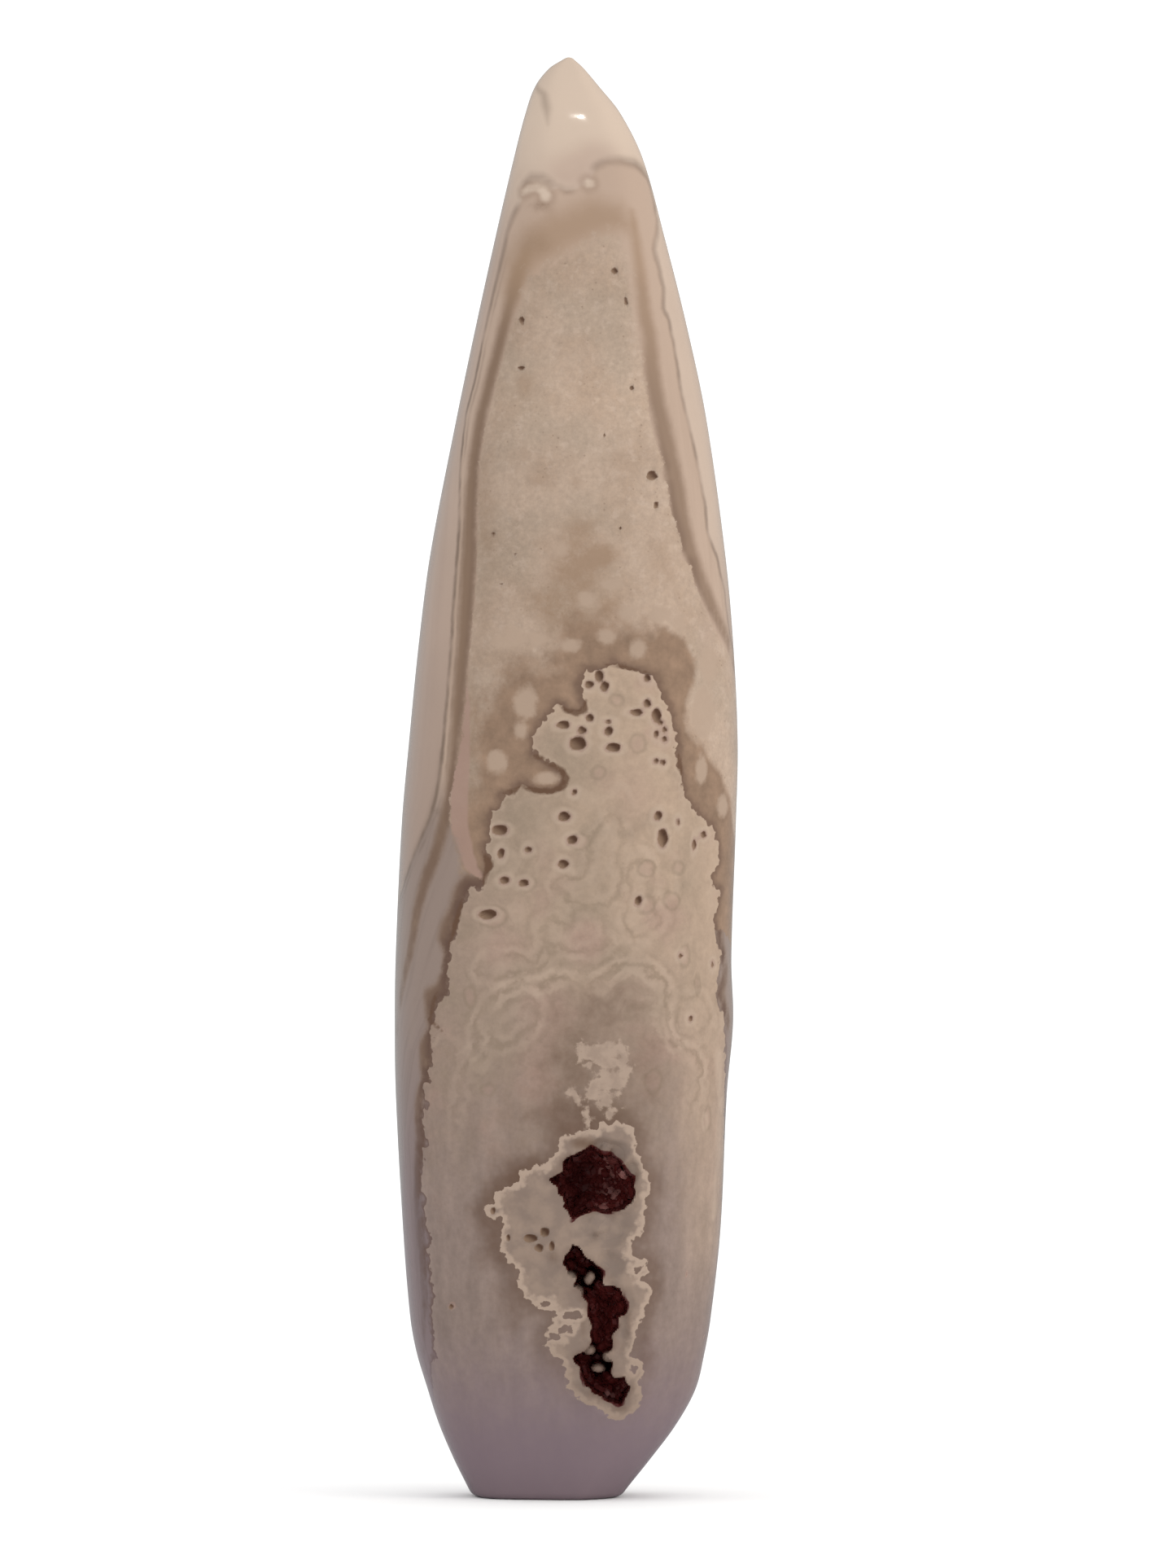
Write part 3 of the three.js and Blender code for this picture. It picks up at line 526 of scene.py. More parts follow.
BACK_LOOPS = [
    [
        (-11.6, 20), (-12.2, 34), (-10.6, 46), (-8.2, 52), (-4.8, 54.4), (-2.4, 52.6),
        (0.6, 53.4), (3.4, 56.4), (6.6, 55.4), (8.2, 50.8), (10.8, 46), (11.8, 34), (11.2, 20),
        (0, 8),
    ],
    [
        (-6.4, 30), (-7.6, 38), (-4.4, 44.6), (0.4, 43.4), (4.0, 46.2), (6.8, 41), (6.2, 31),
        (0.6, 24),
    ],
    [(-2.6, 62), (-1.8, 66), (1.0, 67.4), (3.2, 64.6), (2.0, 61.2), (-0.6, 60.4)],
    [(-7.8, 58.8), (-6.2, 61.6), (-4.2, 60.4), (-4.8, 57.8)],
]
BACK_RINGS = [
    (7.0, 62.4, 1.0, 1.2), (-9.6, 48.4, 0.9, 1.2), (2.2, 36.0, 1.4, 1.8), (-2.4, 35.0, 0.8, 1.0),
]
# One brown band runs round the whole field, and two go on down the sides.
BACK_BROWN = [
    [
        (-20.6, 44, -0.4), (-19.4, 58, 0.4), (-17.6, 70, 0.5), (-14.8, 84, 0.5), (-12.6, 96, 0.5),
        (-10.4, 108, 0.6), (-8.2, 120, 0.6), (-5.9, 130, 0.6), (-4.0, 136.4, 0.6),
        (-1.6, 140.0, 0.8), (1.4, 140.4, 0.9), (3.8, 138.2, 0.7), (5.0, 134.6, 0.6),
        (6.8, 128, 0.7), (9.0, 116, 0.8), (11.4, 104, 0.9), (13.4, 92, 0.7), (15.6, 80, 0.6),
        (17.8, 67, 0.4), (18.9, 50, -0.4),
    ],
    [(-13.9, 60, 0.0), (-14.6, 56, 0.6), (-15.2, 50, 0.6), (-16.2, 40, 0.5), (-16.5, 28, 0.0)],
    [(14.2, 60, 0.0), (15.2, 55, 0.6), (16.4, 44, 0.5), (16.8, 30, 0.0)],
]
BACK_STAINS = [
    (1.5, 86.0, 4.0, 3.0, 0.6), (-6.0, 90.0, 2.4, 3.0, 0.4), (5.6, 98.0, 2.2, 2.6, 0.4),
    (-2.0, 110.0, 2.4, 3.0, 0.35), (2.8, 122.0, 1.8, 2.4, 0.3),
]
BACK_LACE_STAINS = [
    (0.0, 37.0, 7.0, 9.0, 0.45), (-7.0, 26.0, 3.0, 5.0, 0.3), (7.4, 24.0, 3.0, 5.0, 0.3),
    (0.0, 58.0, 6.0, 3.0, 0.2),
]
BACK_BLUSHES = [
    (-5.0, 48.0, 3.0, 4.0, 0.6), (7.0, 46.0, 3.0, 4.0, 0.5), (0.0, 70.0, 3.0, 3.0, 0.4),
]
BACK_DROPS = [
    (-7.6, 80.0, 1.4, 1.8), (8.4, 76.0, 1.3, 1.6), (-1.0, 83.6, 1.2, 1.0), (3.4, 82.2, 1.5, 1.2),
    (-10.6, 74.0, 1.0, 1.4), (11.6, 70.6, 0.9, 1.2),
]


# ---- what a user would change ----------------------------------------------------------------
def srgb(red, green, blue):
    """A colour of 0 to 255 as the linear numbers that a colour property holds."""
    shares = [channel / 255 for channel in (red, green, blue)]
    return tuple(s / 12.92 if s <= 0.04045 else ((s + 0.055) / 1.055) ** 2.4 for s in shares)


def colour(name, description, red, green, blue):
    """A colour property with its default."""
    return FloatVectorProperty(
        name=name, description=description, subtype="COLOR", size=3, min=0, max=1,
        default=srgb(red, green, blue),
    )


def length(name, description, default, least, most):
    """A length property with its default, in metres."""
    return FloatProperty(
        name=name, description=description, default=default, min=least, max=most,
        subtype="DISTANCE", unit="LENGTH", precision=5,
    )


class AgateColours(bpy.types.PropertyGroup):
    """Colours of the stone's layers and of the druse."""

    cream: colour("Cream", "The milky tip", 186, 168, 152)
    shell: colour("Shell", "The outer shell", 164, 144, 130)
    shell_dark: colour("Shell streaks", "Fine streaks in the shell", 142, 122, 110)
    # partly painted shade: the shell darker low down, where less light falls
    shell_low: colour("Low shell", "The shell below the middle", 142, 123, 111)
    line: colour("Line", "The thin line round the inner field", 98, 82, 70)
    strip: colour("Strip", "The pale strip inside the line", 166, 145, 129)
    strip_dark: colour("Strip streaks", "Streaks in the pale strip", 144, 124, 108)
    grey: colour("Grey", "The grey streaky zone low at the sides", 133, 117, 108)
    grey_dark: colour("Grey streaks", "Darker streaks in the grey zone", 109, 94, 86)
    # partly the stone's own mauve tone, partly painted cool shade on the lower sides
    low_edge: colour("Low edge", "The mauve edges of the lower half", 116, 101, 101)
    low_streak: colour("Low streaks", "Darker streaks in the mauve edges", 101, 87, 86)
    band: colour("Band", "The smooth brown bands", 116, 94, 77)
    dark_edge: colour("Dark edge", "The darkest brown, against the lace", 88, 67, 57)
    field: colour("Field", "The pale grainy field", 164, 144, 127)
    field_tan: colour("Field tan", "Warm patches in the field", 152, 131, 113)
    field_grey: colour("Field grey", "Smooth grey patches in the field", 150, 134, 118)
    fleck: colour("Fleck", "Pale flecks in the field", 180, 161, 146)
    speck: colour("Speck", "Specks in the field", 112, 92, 76)
    smoke: colour("Smoke", "The brown ground round the lace", 129, 106, 88)
    drop: colour("Drop", "Soft pale drops in the brown ground", 158, 138, 121)
    lace: colour("Lace", "The lace", 162, 141, 122)
    lace_pale: colour("Pale lace", "Pale lines in the lace", 170, 151, 134)
    lace_green: colour("Lace green", "Grey-green zones in the lace", 134, 118, 102)
    # partly painted shade: the lace darker and greyer towards the foot
    lace_low: colour("Low lace", "The lace low on the stone", 127, 111, 103)
    lace_grey: colour("Lace grey", "The lace lower down", 124, 107, 97)
    contour: colour("Contour", "Thin contour lines in the lace", 120, 104, 88)
    blush: colour("Blush", "Pinkish zones", 148, 122, 110)
    stain: colour("Stain", "Brown stains round the hollows", 89, 68, 55)
    rim: colour("Rim", "The white jagged rim of the hollows", 157, 138, 123)
    cloud_pale: colour("Pale cloud", "Milky quartz inside the rim", 136, 118, 105)
    cloud: colour("Cloud", "Cloudy quartz inside the rim", 121, 105, 95)
    dark_line: colour("Dark line", "Dark lines at the edge of the lace", 88, 64, 48)
    # painted shade and light: the dark and the lit side of the tube pits
    pit: colour("Pit", "The walls of the tube pits", 82, 54, 36)
    pit_pale: colour("Pale pit", "The lit side of the tube pits", 128, 104, 84)
    hollow: colour("Hollow", "The stone deep in the hollows", 66, 23, 21)
    olive: colour("Olive", "The olive ground inside the top of the arch", 142, 118, 97)
    # partly the stone's own tone, partly painted shade: the foot darker and mauve
    foot: colour("Foot", "The plain stone at the foot", 115, 100, 107)
    druse: colour("Druse", "The dark quartz points", 87, 30, 28)
    # painted glints on the right of the upper hollow, and paler points low in the lower hollow
    druse_pale_and_glint: colour("Pale druse", "The palest quartz points", 164, 114, 108)


class AgateSizes(bpy.types.PropertyGroup):
    """Sizes of the druse, and of the stage."""

    point_radius: length(
        "Point radius", "Half width of a usual quartz point", 0.5 * MM, 0.1 * MM, 2 * MM
    )
    point_length: length(
        "Point length", "Length of a usual quartz point", 0.45 * MM, 0.2 * MM, 4 * MM
    )
    point_spacing: length(
        "Point spacing", "Least distance between two quartz points", 0.44 * MM, 0.2 * MM, 3 * MM
    )
    seed: IntProperty(name="Seed", description="Seed of the druse", default=7, min=0)
    camera_distance: length("Camera distance", "From the camera to the stone", 2.4, 0.2, 9)
    camera_elevation: FloatProperty(
        name="Camera elevation", description="Angle of the view above level",
        default=math.radians(1.5), min=0, max=math.radians(60), subtype="ANGLE", unit="ROTATION",
    )


# ---- the stone's form ------------------------------------------------------------------------
def along(rows, column, z):
    """Value of a table's column at heights z, on a smooth curve through its rows."""
    table = np.array(rows, float)
    heights, values = table[:, 0], table[:, column]
    index = np.arange(len(values))
    before, after = np.maximum(index - 1, 0), np.minimum(index + 1, len(values) - 1)
    slopes = (values[after] - values[before]) / (heights[after] - heights[before])
    high = np.clip(np.searchsorted(heights, z), 1, len(values) - 1)
    low = high - 1
    span = heights[high] - heights[low]
    t = (z - heights[low]) / span
    return (
        values[low] * (1 + 2 * t) * (1 - t) ** 2
        + slopes[low] * span * t * (1 - t) ** 2
        + values[high] * t * t * (3 - 2 * t)
        + slopes[high] * span * t * t * (t - 1)
    )


def unit_section(angles, share):
    """x and y of the unit section: a polygon of the soft facets with rounded corners."""
    total = 0
    for foot, tip, reach in FACETS:
        toward = np.radians(foot + (tip - foot) * share)
        total = total + np.maximum(0, np.cos(angles - toward) / reach) ** FACET_SHARPNESS
    radius = total ** (-1 / FACET_SHARPNESS)
    return [radius * np.cos(angles), radius * np.sin(angles)]


def sections(heights, angles):
    """x and y, in rows of one height each, of the stone's sections at those angles."""
    share = heights[:, None] / HEIGHT
    around = unit_section(np.linspace(0, 2 * np.pi, FACET_STEPS, endpoint=False)[None], share)
    over = np.maximum(0, FOOT_ROUNDING - heights)
    inset = FOOT_ROUNDING - np.sqrt(FOOT_ROUNDING**2 - over**2)
    points = unit_section(angles[None], share)
    for axis, table in enumerate((OUTLINE, DEPTH)):
        least = around[axis].min(1)[:, None]
        most = around[axis].max(1)[:, None]
        low = (along(table, 1, heights) + inset)[:, None]
        high = (along(table, 2, heights) - inset)[:, None]
        points[axis] = low + (points[axis] - least) / (most - least) * (high - low)
    return points


def spaced(rows):
    """Places from the first row of (place, spacing) to the last, that far apart."""
    places, spacing = np.array(rows, float).T
    fine = np.linspace(places[0], places[-1], SPACING_STEPS)
    count = np.concatenate([[0], np.cumsum(np.diff(fine) / np.interp(fine[1:], places, spacing))])
    return np.interp(np.linspace(0, count[-1], int(round(count[-1])) + 1), count, fine)


def column_angles():
    """Angles of the columns: close together over the front, and wider round the back."""
    level = np.array([REFERENCE_HEIGHT])
    angles = np.linspace(-1.5 * np.pi, 0.5 * np.pi, TURN_STEPS + 1)
    x = sections(level, angles)[0][0]
    left, right = np.argmin(x), np.argmax(x)
    across = spaced(COLUMN_SPACING).clip(x[left], x[right])
    front = np.unique(np.interp(across, x[left:right], angles[left:right]))
    behind = np.linspace(front[-1], front[0] + 2 * np.pi, TURN_STEPS // 2 + 1)
    x, y = (rows[0] for rows in sections(level, behind))
    run = np.concatenate([[0], np.cumsum(np.hypot(np.diff(x), np.diff(y)))])
    back = np.interp(np.linspace(0, run[-1], int(run[-1] / BACK_SPACING))[1:-1], run, behind)
    return np.concatenate([front, back])


class Skin:
    """The stone's wall with its relief, as rows and columns of points, in millimetres."""

    def __init__(self):
        self.heights = spaced(ROW_SPACING)
        self.x, self.y = sections(self.heights, column_angles())
        self.z = np.broadcast_to(self.heights[:, None], self.x.shape)
        steps = np.hypot(np.roll(self.x, -1, 1) - self.x, np.roll(self.y, -1, 1) - self.y)
        run = np.cumsum(steps, 1) - steps
        girth = steps.sum(1, keepdims=True)
        level = MIDDLE + (self.z - MIDDLE) * FRONT_GROWTH
        self.front_z = level + FRONT_TILT * self.y
        self.front_x = self.ring_place(run, girth, self.y.argmin(1))
        self.back_x = self.ring_place(run, girth, self.y.argmax(1))
        front = (self.y < 0) & (np.abs(self.x) < RELIEF_REACH)
        self.sink = np.where(front, relief(self.x, self.front_z), 0)
        pits, back_pits = self.front(pit_depth, PITS), self.back(pit_depth, BACK_PITS)
        self.y = self.y + np.maximum(self.sink, pits) * (self.y < 0) - back_pits * (self.y > 0)

    def ring_place(self, run, girth, farthest):
        """Distance round the ring from the column that stands out farthest low on the stone."""
        middle = farthest[len(farthest) // 4]
        return (run - run[:, middle, None] + girth / 2) % girth - girth / 2

    def place(self, points):
        """Front outline points (x, z, ...) with x turned into the distance round the ring."""
        placed = []
        for x, z, *rest in points:
            row = np.abs(self.heights - min(max(z, 0), HEIGHT)).argmin()
            ring = np.argsort(self.front_x[row])
            xs, places = self.x[row][ring], self.front_x[row][ring]
            left, right = xs.argmin(), xs.argmax()
            inner = np.interp(x, xs[left : right + 1], places[left : right + 1])
            beyond = min(0, x - xs[left]) + max(0, x - xs[right])
            placed.append((inner + beyond, z, *rest))
        return placed

    def front(self, measure, points):
        """A measure of points given on the front, at every point of the skin."""
        return measure(self.place(points), self.front_x, self.front_z)

    def back(self, measure, points):
        """A measure of points given on the back, at every point of the skin."""
        return measure(points, self.back_x, self.z)

    def both(self, measure, front, back):
        """A measure of one feature that is given on the front and on the back."""
        return np.maximum(self.front(measure, front), self.back(measure, back))


# ---- distances to outlines, in millimetres ---------------------------------------------------
def curved(points):
    """The closed outline through those points with its corners rounded off."""
    count, made = len(points), []
    for i in range(count):
        a, b, c, d = (points[(i + k - 1) % count] for k in range(4))
        for t in np.arange(CURVE_STEPS) / CURVE_STEPS:
            weights = (
                (-t + 2 * t**2 - t**3) / 2, (2 - 5 * t**2 + 3 * t**3) / 2,
                (t + 4 * t**2 - 3 * t**3) / 2, (t**3 - t**2) / 2,
            )
            shares = list(zip(weights, (a, b, c, d)))
            made.append(tuple(sum(w * p[axis] for w, p in shares) for axis in (0, 1)))
    return made


def segment_distance(x, z, start, end):
    """Distance to a segment, and how far along it the nearest point is."""
    run = (end[0] - start[0], end[1] - start[1])
    squared = max(run[0] ** 2 + run[1] ** 2, 1e-9)
    t = np.clip(((x - start[0]) * run[0] + (z - start[1]) * run[1]) / squared, 0, 1)
    return np.hypot(x - start[0] - t * run[0], z - start[1] - t * run[1]), t


def inside(outline, x, z):
    """Signed distance to a closed outline, positive inside it."""
    nearest = np.full(x.shape, FAR)
    within = np.zeros(x.shape, bool)
    for start, end in zip(outline, outline[1:] + outline[:1]):
        nearest = np.minimum(nearest, segment_distance(x, z, start, end)[0])
        if start[1] != end[1]:
            crossing = start[0] + (z - start[1]) / (end[1] - start[1]) * (end[0] - start[0])
            within ^= ((start[1] > z) != (end[1] > z)) & (x < crossing)
    return np.where(within, nearest, -nearest)


def stroke(points, x, z):
    """Signed distance to a stroke of (x, z, half width), positive inside it."""
    best = np.full(x.shape, -FAR)
    for start, end in zip(points, points[1:]):
        distance, t = segment_distance(x, z, start, end)
        best = np.maximum(best, start[2] + t * (end[2] - start[2]) - distance)
    return best


def ellipse_reach(x, z, cx, cz, rx, rz):
    """How far out from the middle of an ellipse a point is: 1 on its edge."""
    return np.hypot((x - cx) / rx, (z - cz) / rz)


def ellipses(rows, x, z):
    """Signed distance to the nearest ellipse (x, z, half width, half height), positive inside."""
    best = np.full(x.shape, -FAR)
    for row in rows:
        best = np.maximum(best, (1 - ellipse_reach(x, z, *row)) * (row[2] + row[3]) / 2)
    return best


def slants(rows, x, z):
    """Which side of the nearest ellipse a point is on: -1 upper right, 1 lower left."""
    best, slant = np.full(x.shape, FAR), np.zeros(x.shape)
    for cx, cz, rx, rz in rows:
        out = ellipse_reach(x, z, cx, cz, rx, rz)
        lower_left = -((x - cx) / rx + (z - cz) / rz) / np.sqrt(2)
        slant = np.where(out < best, lower_left, slant)
        best = np.minimum(out, best)
    return np.clip(slant, -1, 1)


def spots(rows, x, z):
    """Soft spots (x, z, half width, half height, strength), added up to 1 at most."""
    total = np.zeros(x.shape)
    for cx, cz, rx, rz, strength in rows:
        total += strength * np.exp(-(((x - cx) / rx) ** 2 + ((z - cz) / rz) ** 2))
    return np.minimum(total, 1)


def smooth(value, low, high):
    """0 below low, 1 above high and a smooth step between them."""
    t = np.clip((value - low) / (high - low), 0, 1)
    return t * t * (3 - 2 * t)


def ripple(x, z, size, phase):
    """A gentle irregular wave of about that size, from -1 to 1."""
    a = np.sin(x / size * 2.1 + 1.3 * np.sin(z / size * 1.7 + phase) + phase)
    b = np.sin(z / size * 2.6 + 1.1 * np.sin(x / size * 1.9 - phase) + 2 * phase)
    return (a + b) / 2


def uneven(x, z, far, sideways, upwards):
    """Places moved a little by ripples, so that round shapes come out uneven."""
    return x + far * ripple(x, z, *sideways), z + far * ripple(x, z, *upwards)


# ---- relief of the front ---------------------------------------------------------------------
def mouth_distance(x, z):
    """Signed distances to the mouths of the two hollows, positive inside, with uneven edges."""
    return [inside(mouth, *uneven(x, z, *MOUTH_RIPPLE)) for mouth, _ in MOUTHS]


def relief(x, z):
    """Depth below the polished face of the ledges, hollows and lumps."""
    ledge_x, ledge_z = uneven(x, z, *LEDGE_RIPPLE)
    depth = np.zeros(x.shape)
    for *ellipse, deepest in LEDGES:
        out = np.minimum(ellipse_reach(ledge_x, ledge_z, *ellipse), 1)
        depth = np.maximum(depth, deepest * (1 - out**2) ** 1.5)
    for distance, (_, deepest) in zip(mouth_distance(x, z), MOUTHS):
        t = np.clip(distance / MOUTH_WALL, 0, 1)
        floor = MOUTH_LIP + (deepest - MOUTH_LIP) * np.sqrt(1 - (1 - t) ** 2)
        floor += FLOOR_RIPPLE[0] * ripple(x, z, *FLOOR_RIPPLE[1])
        depth = np.maximum(depth, floor * smooth(distance, *MOUTH_EDGE))
    for *ellipse, top, root in LUMPS:
        out = ellipse_reach(x, z, *ellipse)
        cap = root - (root - top) * np.sqrt(1 - np.minimum(out, 1) ** 4)
        depth = np.where(out < 1, np.minimum(depth, cap), depth)
    return depth


def pit_depth(rows, x, z):
    """Depth of the tube pits, steep at their edges."""
    x, z = uneven(x, z, *PIT_RIPPLE)
    depth = np.zeros(x.shape)
    for row in rows:
        out = np.minimum(ellipse_reach(x, z, *row), 1)
        deepest = min(PIT_FLOOR, PIT_DEPTH * min(row[2:]))
        depth = np.maximum(depth, deepest * np.sqrt(1 - out**4))
    return depth


def pit_edge(rows, x, z):
    """Signed distance to the nearest tube pit, positive inside it."""
    return ellipses(rows, *uneven(x, z, *PIT_RIPPLE))


# ---- the pattern, as one number for each layer at each point ---------------------------------
def edge_fields(skin):
    """Signed distances to the outlines, joined round the sides."""
    hook = [(x, z, HOOK_HALF_WIDTH) for x, z in HOOK]
    patches = np.max([skin.front(inside, patch) for patch in PATCHES], axis=0)
    mouths = np.max(mouth_distance(skin.x, skin.front_z), axis=0)
    lumps = ellipses(TALL_LUMPS, skin.x, skin.front_z)
    contours = [skin.front(inside, curved(loop)) for loop in LOOPS]
    back_contours = [skin.back(inside, curved(loop)) for loop in BACK_LOOPS]
    return {
        "arch": skin.both(inside, curved(ARCH), curved(BACK_ARCH)),
        "field": skin.both(inside, FIELD, BACK_FIELD),
        "smoke": skin.both(inside, SMOKE, BACK_SMOKE),
        "lace": np.minimum(skin.both(inside, LACE, BACK_LACE), -skin.front(stroke, hook)),
        "rim": np.minimum(skin.front(inside, RIM), -skin.front(ellipses, WINDOWS)),
        "patch": np.minimum(patches, -skin.front(ellipses, PATCH_WINDOWS)),
        "mouth": np.where(skin.y < 0, mouths, BEHIND),
        "lumps": np.where(skin.y < 0, lumps, BEHIND),
        "pits": skin.both(pit_edge, PITS, BACK_PITS),
        "slant": np.where(skin.y < 0, skin.front(slants, PITS), skin.back(slants, BACK_PITS)),
        "drops": skin.both(ellipses, DROPS, BACK_DROPS),
        "rings": skin.both(ellipses, RINGS, BACK_RINGS),
        "main": np.maximum(contours[0], back_contours[0]),
        "scrolls": np.max(contours[1:] + back_contours[1:], axis=0),
    }


def stroke_fields(skin):
    """Signed distances to the strokes, and the distance across the streaks at the sides."""
    fields = {}
    for name, front, back in (
        ("brown", BROWN, BACK_BROWN), ("pale", PALE_STREAKS_AND_REFLECTION, ()), ("creases", CREASES, ()),
        ("worms", WORMS, ()), ("dark_lines", DARK_LINES, ()), ("crest", (CREST,), ()),
        ("tongue", (TONGUE,), ()), ("olive", (OLIVE,), ()),
    ):
        distances = [skin.front(stroke, points) for points in front]
        distances += [skin.back(stroke, points) for points in back]
        fields[name] = np.max(distances, axis=0)
    heights = [z for z, _, _ in STREAKS]
    left = [x for x, _ in skin.place([(x, z) for z, x, _ in STREAKS])]
    right = [x for x, _ in skin.place([(x, z) for z, _, x in STREAKS])]
    course = np.where(
        skin.front_x < 0, np.interp(skin.z, heights, left), np.interp(skin.z, heights, right)
    )
    fields["grain"] = skin.front_x - course
    return fields


def spot_fields(skin):
    """Soft strengths of the stains, the pinkish and grey zones and the shades."""
    fields = {}
    for name, front, back in (
        ("stains", STAINS, BACK_STAINS), ("lace_stains", LACE_STAINS, BACK_LACE_STAINS),
        ("blushes", BLUSHES, BACK_BLUSHES), ("greys", GREYS, ()), ("shades", SHADES, ()),
    ):
        fields[name] = skin.front(spots, front) + skin.back(spots, back)
    return fields


# ---- meshes ----------------------------------------------------------------------------------
def new_object(name, data):
    """A new object in the scene that holds that mesh, light or camera."""
    made = bpy.data.objects.new(name, data)
    bpy.context.scene.collection.objects.link(made)
    return made


def new_mesh(name, shape):
    """A mesh of that name from a bmesh, which is freed."""
    made = bpy.data.meshes.new(name)
    shape.to_mesh(made)
    shape.free()
    return made


def mesh_object(name, vertices, faces):
    """A new object of that mesh, in metres from millimetres, with smooth faces."""
    mesh = bpy.data.meshes.new(name)
    mesh.from_pydata((np.asarray(vertices) * MM).tolist(), [], faces)
    mesh.shade_smooth()
    mesh.update()
    return new_object(name, mesh)


def ring_faces(lower, upper):
    """Quads between two closed rings of vertex numbers, facing out when upper is above."""
    return list(zip(lower, np.roll(lower, -1), np.roll(upper, -1), upper))


def capped(skin):
    """Vertices and faces of the wall with its two end caps, and each vertex's wall point."""
    rows, columns = skin.x.shape
    wall = np.stack([skin.x, skin.y, skin.z], axis=2).reshape(-1, 3)
    number = np.arange(rows * columns).reshape(rows, columns)
    faces = []
    for lower, upper in zip(number, number[1:]):
        faces += ring_faces(lower, upper)
    vertices, source = [wall], [number.ravel()]
    count = rows * columns
    for edge, rise in ((number[0], 0), (number[-1], TIP_DOME)):
        middle, outer = wall[edge].mean(0), edge
        for share in CAP_RINGS:
            ring = np.arange(count, count + columns)
            domed = middle + (wall[edge] - middle) * share
            vertices.append(domed + (0, 0, rise * (1 - share**2)))
            source.append(edge)
            faces += ring_faces(outer, ring) if rise else ring_faces(ring, outer)
            outer, count = ring, count + columns
        vertices.append(middle[None] + (0, 0, rise))
        source.append(edge[:1])
        turned = np.roll(outer, -1)
        pairs = zip(outer, turned) if rise else zip(turned, outer)
        faces += [(a, b, count) for a, b in pairs]
        count += 1
    return np.concatenate(vertices), faces, np.concatenate(source)


# ---- materials, in millimetres ---------------------------------------------------------------
# In the recipes, a noise is given by its scale, detail and roughness, and a layer by the value
# where it starts, the value where it is complete, and its strength there.
# How the pattern and the painted light and shade change up the stone: (height where a change
# starts, where it is complete, how much of it there is then).
RISES = {
    "milky_tip": (136, 154, 1),
    # painted light: the shell paler high on the right
    "painted_light_shoulder": (92, 110, 1),
    # partly painted shade: the shell darker low down
    "low_shell": (118, 62, 0.8),
    "streaky_strip": (138, 100, 0.3),
    "grey_strip": (82, 74, 1),
    # partly painted cool shade: the strip mauve and darker low down
    "mauve_strip": (62, 26, 1),
    "line_softness": (126, 142, 1),
    "second_line": (141, 132, 1),
    "olive_right": (120, 134, 0.7),
    "olive_top": (128, 138, 1),
    # partly painted cool shade: the bands mauve low down
    "mauve_bands": (48, 32, 1),
    "crisp_bands": (128, 110, 1),
    "dark_bands": (80, 70, 1),
    "mossy_edge": (130, 138, 1),
    "soft_edge": (114, 134, 0.5),
    "faded_corner": (74.6, 72.6, 0.6),
    # partly painted shade: the lace greyer and darker lower down
    "grey_lace": (76, 40, 0.6),
    # partly painted shade: the lace darker near the foot
    "low_lace": (50, 28, 1),
    # painted light: the lace paler near the right edge
    "painted_light_lace_right": (20, 30, 0.45),
    "drawn_lace": (60, 30, 0.6),
    "lace_waves": (36, 50, 1),
    "main_contour": (38, 50, 1),
    "pale_halos": (26, 40, 0.4),
    "pale_lip": (60, 74, 0.25),
    "stained_rim": (6, 24, 0.62),
    "dim_rim": (22, 10, 0.85),
    # partly painted shade: darker and mauve at the foot
    "foot": (22, 4, 0.9),
    # painted glints on the right of the upper hollow
    "painted_glint_points": (26, 30, 1),
    # painted shade on the left of the upper hollow
    "painted_shade_points": (26, 30, 1),
    "lowest_points": (13.6, 11.4, 0.5),
}
# And across it: (x where it starts, where it is complete, how much). A name in both is a corner.
SIDES = {
    # painted light: the shell paler high on the right
    "painted_light_shoulder": (6, 10, 0.5),
    "faint_line": (0, 4, 0.25),
    "second_line": (4, -2, 0.6),
    "olive_right": (0, 4, 1),
    "faint_bands": (0, 4, 0.16),
    "thin_smoke": (8, 11.5, 1),
    # painted light and shade: the field darker on the left, lighter on the right
    "lit_field": (-9, 9, 0.11),
    "faded_corner": (-10.4, -11.6, 1),
    # painted shade: the lace greyer towards the left
    "grey_lace_left": (2, -12, 0.5),
    # painted light: the lace paler near the right edge
    "painted_light_lace_right": (11, 15.5, 1),
    "lace_shadow": (-8, -11, 0.3),
    # painted glints on the right of the upper hollow
    "painted_glint_points": (2.6, 4.2, 0.32),
    # painted shade on the left of the upper hollow
    "painted_shade_points": (4.6, 1.6, 0.36),
    "lowest_points": (3.4, 4.8, 1),
}
GLOW = (122.5, 7.0, 0.1)  # height of the field's palest level, its half width and its strength
# Lines beside each contour of the lace: (distance from it, half width, strength, colour).
CONTOUR_LINES = (
    (0.9, 0.75, 0.3, "lace_pale"), (-0.8, 0.7, 0.35, "lace_pale"),
    (0.0, 0.5, 0.45, "contour"), (-1.7, 0.5, 0.22, "contour"),
)
SCROLL_SHARE = 0.75  # how strong they are on the small loops
TOOTH_MIDDLE = 0.32  # about what the teeth add to a distance


